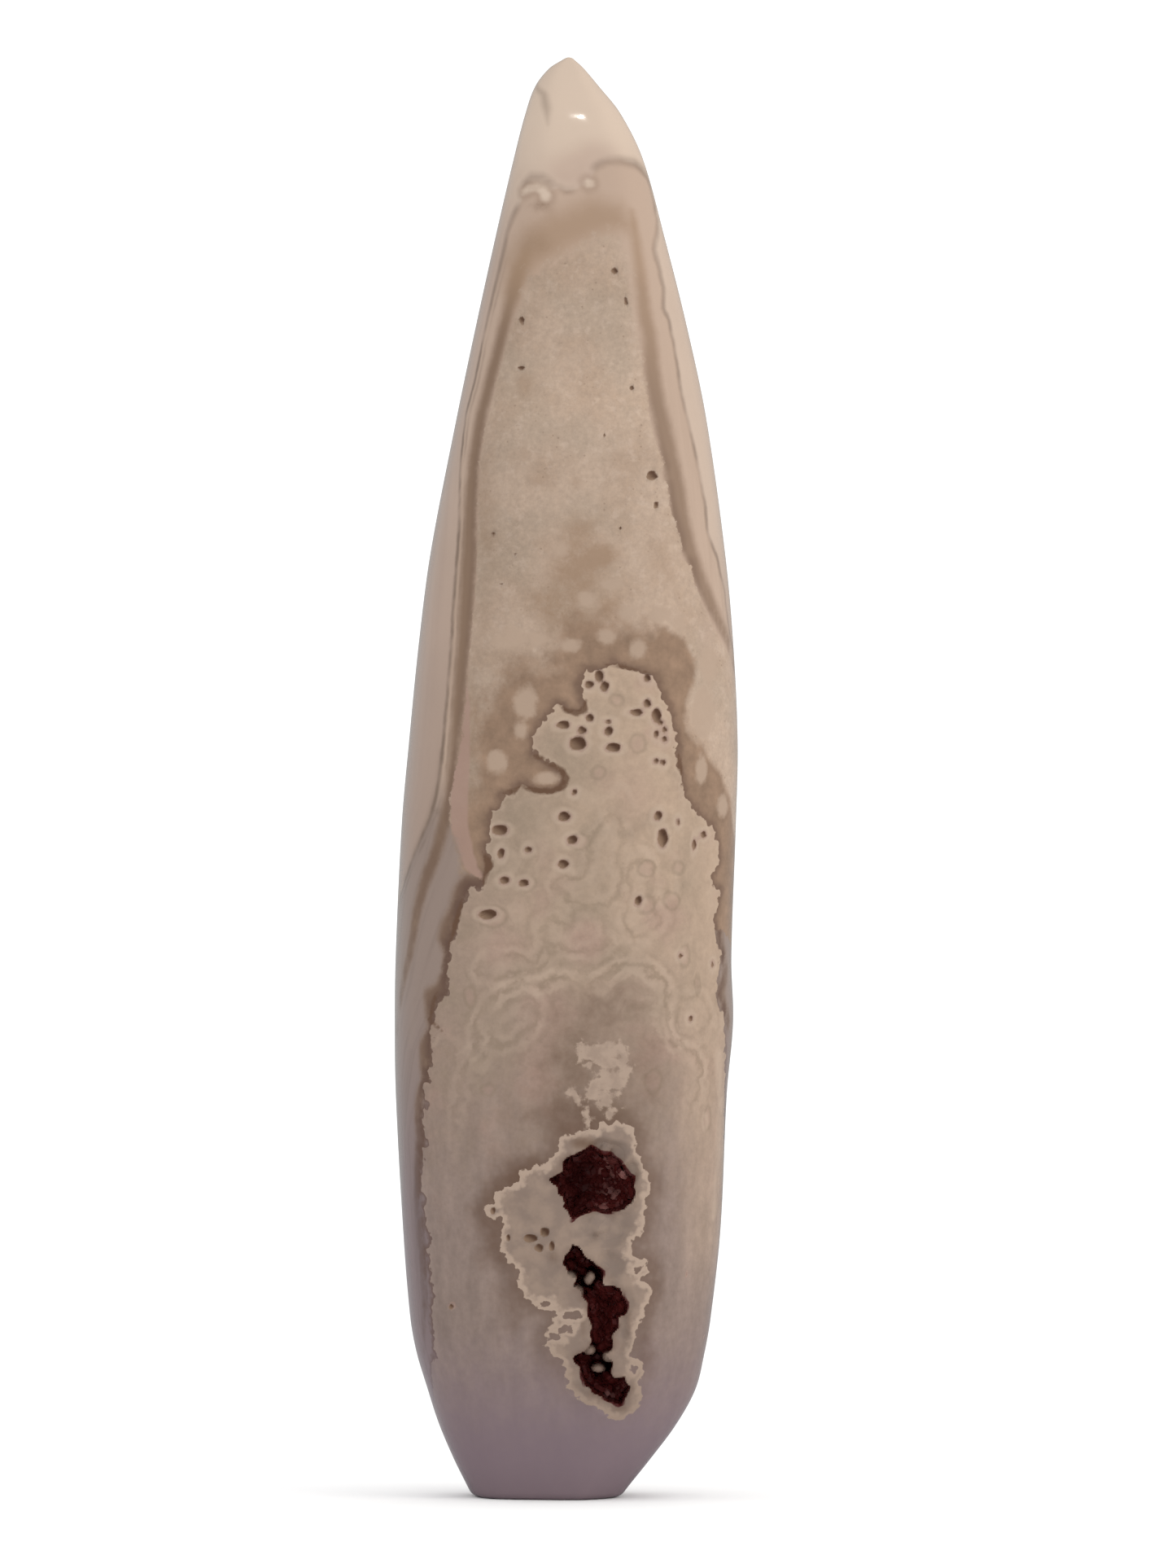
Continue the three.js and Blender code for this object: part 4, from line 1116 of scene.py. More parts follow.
class Nodes:
    """Adds nodes to a tree and links them."""

    def __init__(self, tree):
        self.tree = tree

    def add(self, kind, inputs=(), **settings):
        """A node of that kind with its settings and its inputs, by name or by number."""
        node = self.tree.nodes.new(kind)
        for key, value in settings.items():
            setattr(node, key, value)
        for key, value in dict(inputs).items():
            self.feed(node.inputs[key], value)
        return node

    def feed(self, socket, value):
        """Gives an input a value, or links a socket to it; a colour gets its alpha."""
        if isinstance(value, bpy.types.NodeSocket):
            self.tree.links.new(value, socket)
        elif hasattr(value, "__len__") and not isinstance(value, str):
            socket.default_value = [*value, 1.0][: len(socket.default_value)]
        else:
            socket.default_value = value

    def math(self, operation, *values, clamp=False):
        """A Math node."""
        node = self.add("ShaderNodeMath", enumerate(values), operation=operation, use_clamp=clamp)
        return node.outputs[0]

    def times(self, first, *others):
        """The values multiplied together."""
        for other in others:
            first = self.math("MULTIPLY", first, other)
        return first

    def plus(self, a, b):
        """The sum of two values."""
        return self.math("ADD", a, b)

    def minus(self, a, b):
        """The first value less the second."""
        return self.math("SUBTRACT", a, b)

    def vector(self, x, y, z=0.0):
        """A vector of three values."""
        return self.add("ShaderNodeCombineXYZ", enumerate((x, y, z))).outputs[0]


class Recipe(Nodes):
    """Builds a material by short calls; every value may be a number or a socket."""

    def __init__(self, name, tints=None):
        self.material = bpy.data.materials.new(name)
        self.material.use_nodes = True
        super().__init__(self.material.node_tree)
        self.tree.nodes.clear()
        self.tints = tints

    @cached_property
    def mm(self):
        """The place on the object, in millimetres."""
        return self.shade(self.add("ShaderNodeTexCoord").outputs["Object"], 1 / MM)

    @cached_property
    def place(self):
        """The same as three values."""
        return self.add("ShaderNodeSeparateXYZ", {0: self.mm}).outputs

    @property
    def height(self):
        """The height on the object, in millimetres."""
        return self.place["Z"]

    @cached_property
    def coarse(self):
        """Coarse noise of -1 to 1, shared by the layers."""
        return self.noise(0.7, 3.0, 0.6, centred=True)

    @cached_property
    def fine(self):
        """Fine noise of -1 to 1, shared by the layers."""
        return self.noise(2.6, 3.0, 0.65, centred=True)

    @cached_property
    def wobble(self):
        """Broad ragged noise of -1 to 1, shared by the layers."""
        return self.noise(0.42, 4.0, 0.62, centred=True)

    @cached_property
    def teeth(self):
        """Small rounded cells, for jagged edges."""
        return self.cells(1.25)

    def field(self, name, noise=None, far=0.0):
        """The value of a mesh attribute; a noise may move it, that far at most."""
        value = self.add("ShaderNodeAttribute", attribute_name=name).outputs["Fac"]
        return value if noise is None else self.moved(value, noise, far)

    def noise(self, scale, detail=2.0, roughness=0.5, at=None, centred=False):
        """Noise of 0 to 1 over millimetres, or of -1 to 1 when centred."""
        place = self.mm if at is None else at
        inputs = {"Vector": place, "Scale": scale, "Detail": detail, "Roughness": roughness}
        value = self.add("ShaderNodeTexNoise", inputs).outputs["Fac"]
        return self.math("MULTIPLY_ADD", value, 2.0, -1.0) if centred else value

    def cells(self, scale):
        """Distance to the nearest of scattered points, over millimetres."""
        node = self.add("ShaderNodeTexVoronoi", {"Vector": self.mm, "Scale": scale})
        return node.outputs["Distance"]

    def moved(self, value, noise, far):
        """The value moved by a noise, that far at most."""
        return self.math("MULTIPLY_ADD", noise, far, value)

    def step(self, value, low, high, top=1.0):
        """A smooth step of the value, from 0 at low to top at high."""
        values = enumerate((value, low, high, 0.0, top))
        return self.add("ShaderNodeMapRange", values, interpolation_type="SMOOTHSTEP").outputs[0]

    def zone(self, name, height=None):
        """How much of a change there is, by RISES, by SIDES or by both."""
        steps = []
        if name in RISES:
            steps.append(self.step(self.height if height is None else height, *RISES[name]))
        if name in SIDES:
            steps.append(self.step(self.place["X"], *SIDES[name]))
        return self.times(*steps)

    def ridge(self, value, width, strength=1.0):
        """A thin line where the value is 0, fading out over the width."""
        return self.step(self.math("ABSOLUTE", value), width, 0.0, strength)

    def mix(self, factor, a, b):
        """Colour a turned into colour b by the factor."""
        inputs = {"Factor": factor, "A": a, "B": b}
        return self.add("ShaderNodeMix", data_type="RGBA", inputs=inputs).outputs["Result"]

    def layer(self, base, tint, value, low, high, top=1.0):
        """The base turned into a tint where the value steps from low to high."""
        return self.mix(self.step(value, low, high, top), base, tint)

    def shade(self, value, factor):
        """A colour made darker or lighter by a factor, or a place scaled by it."""
        node = self.add("ShaderNodeVectorMath", {0: value, "Scale": factor}, operation="SCALE")
        return node.outputs["Vector"]

    def toothed(self, name, teeth, fine):
        """A signed distance with a jagged edge."""
        jagged = self.moved(self.field(name, self.fine, fine), self.teeth, teeth)
        return self.minus(jagged, TOOTH_MIDDLE)

    def finish(self, base, roughness, gloss, **others):
        """The Principled shader and the output."""
        inputs = {"Base Color": base, "Roughness": roughness, "Specular IOR Level": gloss}
        shader = self.add("ShaderNodeBsdfPrincipled", {**inputs, **others})
        self.add("ShaderNodeOutputMaterial", {"Surface": shader.outputs[0]})
        return self.material


def shell_colour(paint):
    """The outer shell: fine streaks side by side with the arch, milky towards the tip.
    Painted light makes it paler high on the right; low down it is darker, partly by painted shade.
    """
    course = paint.vector(paint.field("arch"), paint.times(paint.height, 0.02))
    streaks = paint.noise(0.8, 3.0, 0.6, at=course)
    base = paint.layer(paint.tints.shell, paint.tints.shell_dark, streaks, 0.4, 0.68, 0.18)
    # partly the shell's own tone, partly painted shade: darker low down
    base = paint.mix(paint.zone("low_shell"), base, paint.tints.shell_low)
    milky = paint.moved(paint.height, paint.noise(0.22, 2.0, centred=True), 2.0)
    base = paint.mix(paint.zone("milky_tip", milky), base, paint.tints.cream)
    # painted light: cream laid high on the right of the shell
    base = paint.mix(paint.zone("painted_light_shoulder"), base, paint.tints.cream)
    base = paint.layer(base, paint.tints.blush, paint.field("blushes"), 0.1, 0.9, 0.3)
    base = paint.shade(base, paint.moved(1.0, paint.noise(0.12, 3.0, centred=True), 0.06))
    # thin lines, and at the tip painted shade where two facets meet
    return paint.layer(base, paint.tints.line, paint.field("creases"), -0.8, 0.4, 0.4)


def strip_colour(paint, stained):
    """What lies between the arch line and the field: tan above, grey with streaks lower down."""
    tints = paint.tints
    slow, shaken = paint.times(paint.height, 0.06), paint.times(paint.coarse, 0.2)
    streaks = paint.noise(0.9, 3.0, 0.55, at=paint.vector(paint.field("grain"), slow, shaken))
    streaky = paint.times(paint.step(streaks, 0.4, 0.65), paint.zone("streaky_strip"))
    tan = paint.mix(streaky, tints.strip, tints.strip_dark)
    grey = paint.layer(tints.grey, tints.grey_dark, streaks, 0.42, 0.74, 0.3)
    mauve = paint.layer(tints.low_edge, tints.low_streak, streaks, 0.42, 0.7, 0.5)
    base = paint.mix(paint.zone("grey_strip"), tan, grey)
    base = paint.mix(paint.zone("mauve_strip"), base, mauve)
    base = paint.layer(base, tints.grey, paint.field("pale", paint.coarse, 0.3), -0.7, 0.4, 0.6)
    base = paint.layer(base, tints.band, stained, 0.05, 0.85, 0.9)
    base = paint.layer(base, tints.olive, paint.field("olive", paint.coarse, 0.5), -2.6, 0.8, 0.75)
    return paint.layer(base, tints.line, paint.field("creases"), -0.8, 0.4, 0.4)


def draw_arch(paint, base, edge):
    """The thin line along the arch, a second one inside it at the left, and its wide end."""
    broken = paint.step(paint.noise(0.25, 2.0), 0.3, 0.6, 0.5)
    softness = paint.zone("line_softness")
    line = paint.ridge(edge, paint.moved(0.5, softness, 0.3))
    firm = paint.minus(1.0, paint.zone("faint_line"))
    line = paint.times(line, paint.plus(broken, 0.25), firm, paint.moved(1.0, softness, -0.35))
    line = paint.times(line, paint.step(paint.field("worms"), -0.6, -2.0))
    base = paint.mix(line, base, paint.tints.line)
    second = paint.ridge(paint.minus(edge, 0.8), 0.4)
    second = paint.times(second, broken, paint.zone("second_line"))
    base = paint.mix(second, base, paint.tints.line)
    return paint.layer(base, paint.tints.line, paint.field("crest"), -0.7, 0.5, 0.34)


def draw_bands(paint, base):
    """The smooth brown bands, darkest against the field and low on the left."""
    upper = paint.math("MAXIMUM", paint.zone("olive_right"), paint.zone("olive_top"))
    tint = paint.mix(upper, paint.tints.band, paint.tints.olive)
    tint = paint.mix(paint.zone("mauve_bands"), tint, paint.tints.low_streak)
    firm = paint.minus(0.92, paint.zone("faint_bands"))
    base = paint.layer(base, tint, paint.field("brown", paint.coarse, 0.25), -0.9, 0.5, firm)
    beside = paint.step(paint.field("field"), -1.3, -0.1, 0.4)
    beside = paint.times(beside, paint.zone("crisp_bands"))
    near_lace = paint.plus(paint.step(paint.field("lace"), -2.0, -0.3, 0.6), 0.42)
    patchy = paint.step(paint.noise(0.4, 3.0), 0.2, 0.5, 0.9)
    darker = paint.math("MAXIMUM", beside, paint.times(paint.zone("dark_bands"), patchy, near_lace))
    ragged = paint.moved(paint.field("brown", paint.fine, 0.3), paint.coarse, 0.5)
    darker = paint.times(darker, paint.step(ragged, -0.55, 0.35))
    return paint.mix(darker, base, paint.tints.dark_edge)


def field_ground(paint, stained):
    """The grainy pale field, with its flecks, specks and warm stains."""
    tints = paint.tints
    base = paint.layer(tints.field, tints.field_tan, paint.noise(0.2, 3.0, 0.6), 0.4, 0.66, 0.7)
    base = paint.layer(base, tints.field_grey, paint.noise(0.13, 2.0), 0.42, 0.64, 0.5)
    base = paint.shade(base, paint.moved(0.7, paint.noise(1.6, 4.0, 0.68), 0.55))
    specks = paint.step(paint.cells(1.3), 0.2, 0.1, 0.4)
    specks = paint.times(specks, paint.step(paint.noise(0.4, 2.0), 0.5, 0.62))
    base = paint.mix(specks, base, tints.speck)
    base = paint.layer(base, tints.fleck, paint.noise(0.9, 4.0, 0.66), 0.5, 0.7, 0.32)
    base = paint.layer(base, tints.blush, paint.field("blushes"), 0.05, 0.8, 0.7)
    base = paint.layer(base, paint.mix(0.65, tints.smoke, tints.olive), stained, 0.0, 0.9, 0.85)
    level, width, strength = GLOW
    glow = paint.ridge(paint.minus(paint.height, level), width, strength)
    # painted light and shade: the field darker on the left, lighter on the right
    return paint.shade(base, paint.plus(paint.plus(paint.zone("lit_field"), 0.92), glow))


def field_colour(paint, stained):
    """The field with the brown ground at its foot, and the pale drops and the tongue in it."""
    tints, base = paint.tints, field_ground(paint, stained)
    thin = paint.zone("thin_smoke")
    smoky = paint.moved(paint.field("smoke"), paint.wobble, paint.moved(3.0, thin, -2.2))
    mottled = paint.shade(tints.smoke, paint.moved(0.55, paint.noise(0.5, 4.0, 0.65), 0.9))
    start, end = paint.moved(-1.8, thin, 1.3), paint.moved(2.4, thin, -1.8)
    base = paint.layer(base, mottled, smoky, start, end)
    near_lace = paint.step(paint.field("lace"), -1.5, -0.1, 0.45)
    near_lace = paint.times(near_lace, paint.step(smoky, -0.4, 1.6))
    base = paint.mix(near_lace, base, tints.dark_edge)
    drops = paint.moved(paint.field("drops", paint.wobble, 0.9), paint.coarse, 0.5)
    base = paint.layer(base, tints.drop, drops, -0.45, 0.5, 0.85)
    tongue = paint.field("tongue", paint.coarse, 0.15)
    return paint.layer(base, tints.blush, tongue, -0.25, 0.2, 0.8)


def lay_field(paint, base, stained):
    """The field over what surrounds it, with a jagged edge that is mossy near the tip."""
    mossy = paint.zone("mossy_edge")
    edge = paint.moved(paint.field("field", paint.fine, 0.5), paint.coarse, 0.6)
    edge = paint.moved(edge, paint.times(paint.noise(0.9, 4.0, 0.7, centred=True), mossy), 2.2)
    soft = paint.plus(paint.zone("soft_edge"), paint.moved(0.14, mossy, 1.2))
    faded = paint.zone("faded_corner")
    start, end = paint.minus(-0.12, faded), paint.plus(soft, faded)
    return paint.layer(base, field_colour(paint, stained), edge, start, end)


def lace_ground(paint, warp, main_loop):
    """The ground of the lace: paler above, grey-green and pinkish in zones.
    Its darkening towards the foot is partly painted shade; it has painted shade on the left and
    painted light near the right edge.
    """
    tints = paint.tints
    sunken = paint.moved(paint.height, warp, 8.0)
    broad = paint.noise(0.15, 3.0, 0.55)
    # partly painted shade: the lace greyer and darker lower down
    base = paint.mix(paint.zone("grey_lace", sunken), tints.lace, tints.lace_grey)
    base = paint.layer(base, tints.lace_grey, main_loop, -0.6, 2.6, 0.3)
    # painted shade: the lace greyer towards the left
    base = paint.mix(paint.zone("grey_lace_left"), base, tints.lace_grey)
    base = paint.layer(base, tints.lace_green, broad, 0.52, 0.7, 0.5)
    base = paint.layer(base, tints.blush, broad, 0.48, 0.3, 0.45)
    base = paint.mix(paint.times(paint.field("greys"), 0.8), base, tints.lace_green)
    base = paint.layer(base, tints.blush, paint.field("blushes"), 0.1, 0.8, 0.6)
    # partly painted shade: the lace darker near the foot
    base = paint.mix(paint.zone("low_lace", sunken), base, tints.lace_low)
    # painted light: the lace paler near the right edge
    base = paint.mix(paint.zone("painted_light_lace_right"), base, tints.lace)
    tall = paint.vector(paint.place["X"], paint.place["Y"], paint.times(paint.height, 0.3))
    drawn = paint.minus(paint.noise(0.55, 3.0, 0.6, at=tall), 0.5)
    base = paint.shade(base, paint.moved(1.0, drawn, paint.zone("drawn_lace")))
    return paint.shade(base, paint.moved(0.8, paint.noise(1.3, 4.0, 0.7), 0.4))


def lace_lines(paint, base, warp, main_loop, scrolls):
    """Faint waves, and the thin lines on both sides of the contours."""
    flow = paint.moved(paint.times(warp, 1.5), paint.noise(0.1, 2.0, 0.4), 46.0)
    waves = paint.math("COSINE", flow)
    patchy = paint.times(paint.step(paint.noise(0.2, 2.0), 0.4, 0.65), paint.zone("lace_waves"))
    dark = paint.times(patchy, paint.step(waves, 0.4, 1.0, 0.2))
    base = paint.mix(dark, base, paint.tints.contour)
    pale = paint.times(patchy, paint.step(waves, -0.2, -1.0, 0.2))
    base = paint.mix(pale, base, paint.tints.lace_pale)
    worn = paint.moved(0.3, paint.step(paint.noise(0.28, 2.0), 0.3, 0.6), 0.7)
    on_main = paint.times(paint.zone("main_contour"), worn)
    for line, strength, share in ((main_loop, on_main, 1.0), (scrolls, worn, SCROLL_SHARE)):
        for beside, width, top, tint in CONTOUR_LINES:
            drawn = paint.ridge(paint.minus(line, beside), width, top * share)
            base = paint.mix(paint.times(drawn, strength), base, getattr(paint.tints, tint))
    return base


def lace_colour(paint):
    """The lace: its ground and lines, rings, halos round the pits, strokes and stains."""
    tints = paint.tints
    warp = paint.noise(0.5, 3.0, 0.6, centred=True)
    shiver = paint.noise(1.4, 2.0, 0.5, centred=True)
    main_loop = paint.moved(paint.field("main", warp, 1.6), shiver, 0.22)
    scrolls = paint.moved(paint.field("scrolls", warp, 1.2), shiver, 0.22)
    base = lace_lines(paint, lace_ground(paint, warp, main_loop), warp, main_loop, scrolls)
    rings = paint.field("rings", warp, 0.5)
    base = paint.layer(base, tints.blush, rings, -0.1, 0.5, 0.3)
    base = paint.mix(paint.ridge(rings, 0.4, 0.35), base, tints.contour)
    halo = paint.field("pits", warp, 0.3)
    pale = paint.times(paint.step(halo, -0.9, -0.35), paint.zone("pale_halos"))
    base = paint.mix(pale, base, tints.lace_pale)
    base = paint.layer(base, tints.blush, halo, -0.32, -0.05, 0.6)
    # pale streaks, and down the right edge a painted reflection
    base = paint.layer(base, tints.lace_pale, paint.field("pale", warp, 0.5), -0.8, 0.3, 0.6)
    return paint.layer(base, tints.stain, paint.field("lace_stains", warp, 0.3), 0.0, 0.85, 0.9)


def lay_lace(paint, base):
    """The lace over its ground, with teeth, a dark outline and the thin dark lines."""
    edge = paint.moved(paint.toothed("lace", 0.75, 0.25), paint.coarse, 0.25)
    lip = paint.ridge(paint.minus(edge, 0.25), 0.3, paint.zone("pale_lip"))
    lace = paint.mix(lip, lace_colour(paint), paint.tints.lace_pale)
    shadow = paint.times(paint.step(edge, -0.9, -0.05), paint.plus(paint.zone("lace_shadow"), 0.4))
    base = paint.mix(shadow, base, paint.tints.dark_edge)
    base = paint.layer(base, lace, edge, -0.07, 0.07)
    lines = paint.moved(paint.field("dark_lines", paint.fine, 0.15), paint.coarse, 0.15)
    return paint.layer(base, paint.tints.dark_line, lines, -0.25, 0.15, 0.9)


def lay_rim(paint, base):
    """The white rim of the hollows, bright along its edge, cloudy and glassy inside."""
    tints = paint.tints
    edge = paint.toothed("rim", 0.7, 0.3)
    stained = paint.times(paint.step(edge, -2.6, -0.05), paint.zone("stained_rim"))
    base = paint.mix(stained, base, tints.stain)
    cloudy = paint.layer(tints.cloud, tints.cloud_pale, paint.noise(0.45, 3.0, 0.55), 0.35, 0.68)
    white = paint.mix(paint.zone("dim_rim"), tints.rim, tints.cloud_pale)
    rim = paint.layer(white, cloudy, paint.moved(edge, paint.coarse, 0.4), 0.25, 0.9, 0.95)
    base = paint.layer(base, rim, edge, -0.06, 0.06)
    patch = paint.moved(paint.field("patch"), paint.noise(1.3, 3.0, 0.6, centred=True), 0.9)
    veined = paint.layer(tints.rim, tints.cloud_pale, paint.noise(0.8, 3.0), 0.4, 0.65, 0.6)
    return paint.layer(base, veined, patch, -0.2, 0.25, 0.92)


def sink_hollows(paint, base):
    """Painted shade at the hollows, their dark walls, and the tube pits with their painted dark and
    lit sides.
    """
    tints = paint.tints
    shades = paint.field("shades", paint.coarse, 0.2)
    # painted shade: soft dark spots inside the rim, against the hollows
    base = paint.layer(base, tints.dark_line, shades, 0.1, 1.1, 0.8)
    mouth = paint.field("mouth", paint.fine, 0.1)
    patchy = paint.step(paint.noise(0.3, 2.0), 0.35, 0.6, 0.5)
    # painted shade: a patchy dark ring at the edges of the mouths
    base = paint.mix(paint.times(paint.step(mouth, -1.0, 0.0), patchy), base, tints.dark_edge)
    wall = paint.times(paint.step(paint.field("sink"), 0.25, 0.6), paint.step(mouth, -0.35, -0.2))
    dark = paint.math("MAXIMUM", wall, paint.step(mouth, -0.12, 0.12))
    dark = paint.math("SUBTRACT", dark, paint.step(paint.field("lumps"), 0.02, 0.2), clamp=True)
    base = paint.mix(dark, base, tints.hollow)
    pit = paint.moved(paint.field("pits", paint.fine, 0.12), paint.coarse, 0.12)
    # painted shade and light: pit walls dark on the upper right, lit on the lower left
    tube = paint.layer(tints.pit, tints.pit_pale, paint.field("slant"), -0.5, 0.75)
    return paint.layer(base, tube, pit, -0.12, 0.08, 0.95)


def agate_material(tints):
    """The polished stone, layer over layer from the shell to the tube pits."""
    paint = Recipe("polished_lace_agate", tints)
    patchy = paint.moved(paint.moved(1.0, paint.fine, 0.35), paint.wobble, 0.9)
    stained = paint.times(patchy, paint.field("stains"))
    edge = paint.field("arch", paint.coarse, 0.16)
    base = paint.layer(shell_colour(paint), strip_colour(paint, stained), edge, -0.2, 0.3)
    base = draw_arch(paint, base, edge)
    base = draw_bands(paint, base)
    base = lay_field(paint, base, stained)
    base = lay_lace(paint, base)
    ragged = paint.moved(paint.height, paint.coarse, 2.5)
    # partly painted shade: darker and mauve at the foot
    base = paint.mix(paint.zone("foot", ragged), base, tints.foot)
    base = lay_rim(paint, base)
    worms = paint.field("worms", paint.coarse, 0.25)
    # painted shadow: a soft band-coloured ring round the pale squiggles near the tip
    base = paint.layer(base, tints.band, worms, -1.2, -0.2, 0.3)
    base = paint.layer(base, tints.cream, worms, -0.45, 0.35, 0.9)
    base = sink_hollows(paint, base)
    rough = paint.moved(0.04, paint.noise(0.3, 3.0), 0.06)
    rough = paint.plus(rough, paint.step(paint.field("sink"), 0.1, 0.8, 0.2))
    rough = paint.plus(rough, paint.step(paint.field("pits"), -0.25, -0.05, 0.7))
    waves = {"Strength": 0.1, "Distance": 0.05 * MM, "Height": paint.noise(0.5, 2.0)}
    normal = paint.add("ShaderNodeBump", waves).outputs[0]
    return paint.finish(base, rough, gloss=0.3, Normal=normal, IOR=QUARTZ_IOR)


def druse_material(tints):
    """Dark smoky red-brown quartz, with a few paler points: painted glints on the right of the
    upper hollow and paler points low in the lower hollow; painted shade darkens the upper hollow's
    left.
    """
    paint = Recipe("smoky_druse", tints)
    # painted glints, and paler points low in the lower hollow
    lit = paint.plus(paint.zone("painted_glint_points"), paint.zone("lowest_points"))
    tone = paint.plus(paint.field("tone"), lit)
    base = paint.layer(tints.druse, tints.druse_pale_and_glint, tone, 0.95, 1.45)
    base = paint.shade(base, paint.moved(0.7, paint.noise(0.9, 2.0), 0.6))
    # painted shade: the upper hollow darker on its left
    base = paint.shade(base, paint.minus(1.0, paint.zone("painted_shade_points")))
    return paint.finish(base, paint.moved(0.6, tone, -0.2), gloss=0.15, IOR=QUARTZ_IOR)


# ---- pieces ----------------------------------------------------------------------------------
def make_stone(tints):
    """The polished stone, as one mesh that stands for the solid."""
    skin = Skin()
    vertices, faces, source = capped(skin)
    stone = mesh_object("polished_stone", vertices, faces)
    fields = {**edge_fields(skin), **stroke_fields(skin), **spot_fields(skin), "sink": skin.sink}
    for name, values in fields.items():
        attribute = stone.data.attributes.new(name, "FLOAT", "POINT")
        attribute.data.foreach_set("value", values.ravel()[source].astype(np.float32))
    stone.data.materials.append(agate_material(tints))
    stone.data.set_sharp_from_angle(angle=SHARP_EDGE)
    return stone


# The crust on a hollow's floor, in millimetres.
CRUST_TOP = 0.5  # it stands this far off the floor
CRUST_ROOT = 0.15
CRUST_EDGE = 0.3  # how far inside the mouth it stops
CRUST_DEPTH = 1.5  # and how far below the polished face
LUMP_CLEARANCE = 0.3  # and how far from the lumps
# A quartz point of unit radius and height. Corners of its waist: (pushed out this far, height).
WAIST = ((0.0, 0.62), (0.05, 0.55), (-0.04, 0.6), (0.03, 0.66), (-0.05, 0.57), (0.04, 0.6))
WAIST_RADIUS = 0.92  # how far out they would be otherwise
POINT_FOOT = -0.35  # height of its foot, which is sunk in the crust
POINT_TIP = (0.12, -0.06, 1.0)
WIDTHS = (0.55, 1.5)  # least and most width of a point, as a share of the usual one
LENGTHS = (0.5, 1.35)  # and length
LEAN = math.radians(20)  # how far a point may lean
POINT_DENSITY = 2.5e7  # points tried on each square metre, before their spacing thins them out


def crust_mesh(skin, which):
    """A closed crust on the floor of one hollow: its mesh, and how many faces are on top."""
    distance = mouth_distance(skin.x, skin.front_z)[which]
    lumps = [lump[:4] for lump in LUMPS]
    clear = ellipses(lumps, skin.x, skin.front_z) < -LUMP_CLEARANCE
    deep = (skin.sink > CRUST_DEPTH) & (skin.y < 0) & (distance > CRUST_EDGE) & clear
    number = np.arange(skin.x.size).reshape(skin.x.shape)
    quads = []
    for row, column in zip(*np.nonzero(deep[:-1])):
        after = (column + 1) % skin.x.shape[1]
        corners = ((row, column), (row, after), (row + 1, after), (row + 1, column))
        if all(deep[corner] for corner in corners):
            quads.append([number[corner] for corner in corners])
    used, compact = np.unique(np.array(quads), return_inverse=True)
    quads = compact.reshape(-1, 4)
    points = np.stack([skin.x, skin.y, skin.z], 2).reshape(-1, 3)[used]
    outer, inner = points - (0, CRUST_TOP, 0), points - (0, CRUST_ROOT, 0)
    size = len(points)
    faces = quads.tolist() + (quads[:, ::-1] + size).tolist()
    edges = [pair for quad in quads.tolist() for pair in zip(quad, quad[1:] + quad[:1])]
    known = set(edges)
    faces += [(b, a, a + size, b + size) for a, b in edges if (b, a) not in known]
    return np.concatenate([outer, inner]), faces, len(quads)


def quartz_point():
    """One quartz point of unit radius and height: a six-sided prism with a slightly skew tip."""
    shape = bmesh.new()
    foot, waist = [], []
    for side, (shift, height) in enumerate(WAIST):
        angle = side * math.tau / len(WAIST)
        x, y = math.cos(angle), math.sin(angle)
        out = WAIST_RADIUS + shift
        foot.append(shape.verts.new((x, y, POINT_FOOT)))
        waist.append(shape.verts.new((x * out, y * out, height)))
    tip = shape.verts.new(POINT_TIP)
    for side in range(len(WAIST)):
        after = (side + 1) % len(WAIST)
        shape.faces.new((foot[side], foot[after], waist[after], waist[side]))
        shape.faces.new((waist[side], waist[after], tip))
    shape.faces.new(foot[::-1])
    return bpy.data.objects.new("quartz_point", new_mesh("quartz_point", shape))


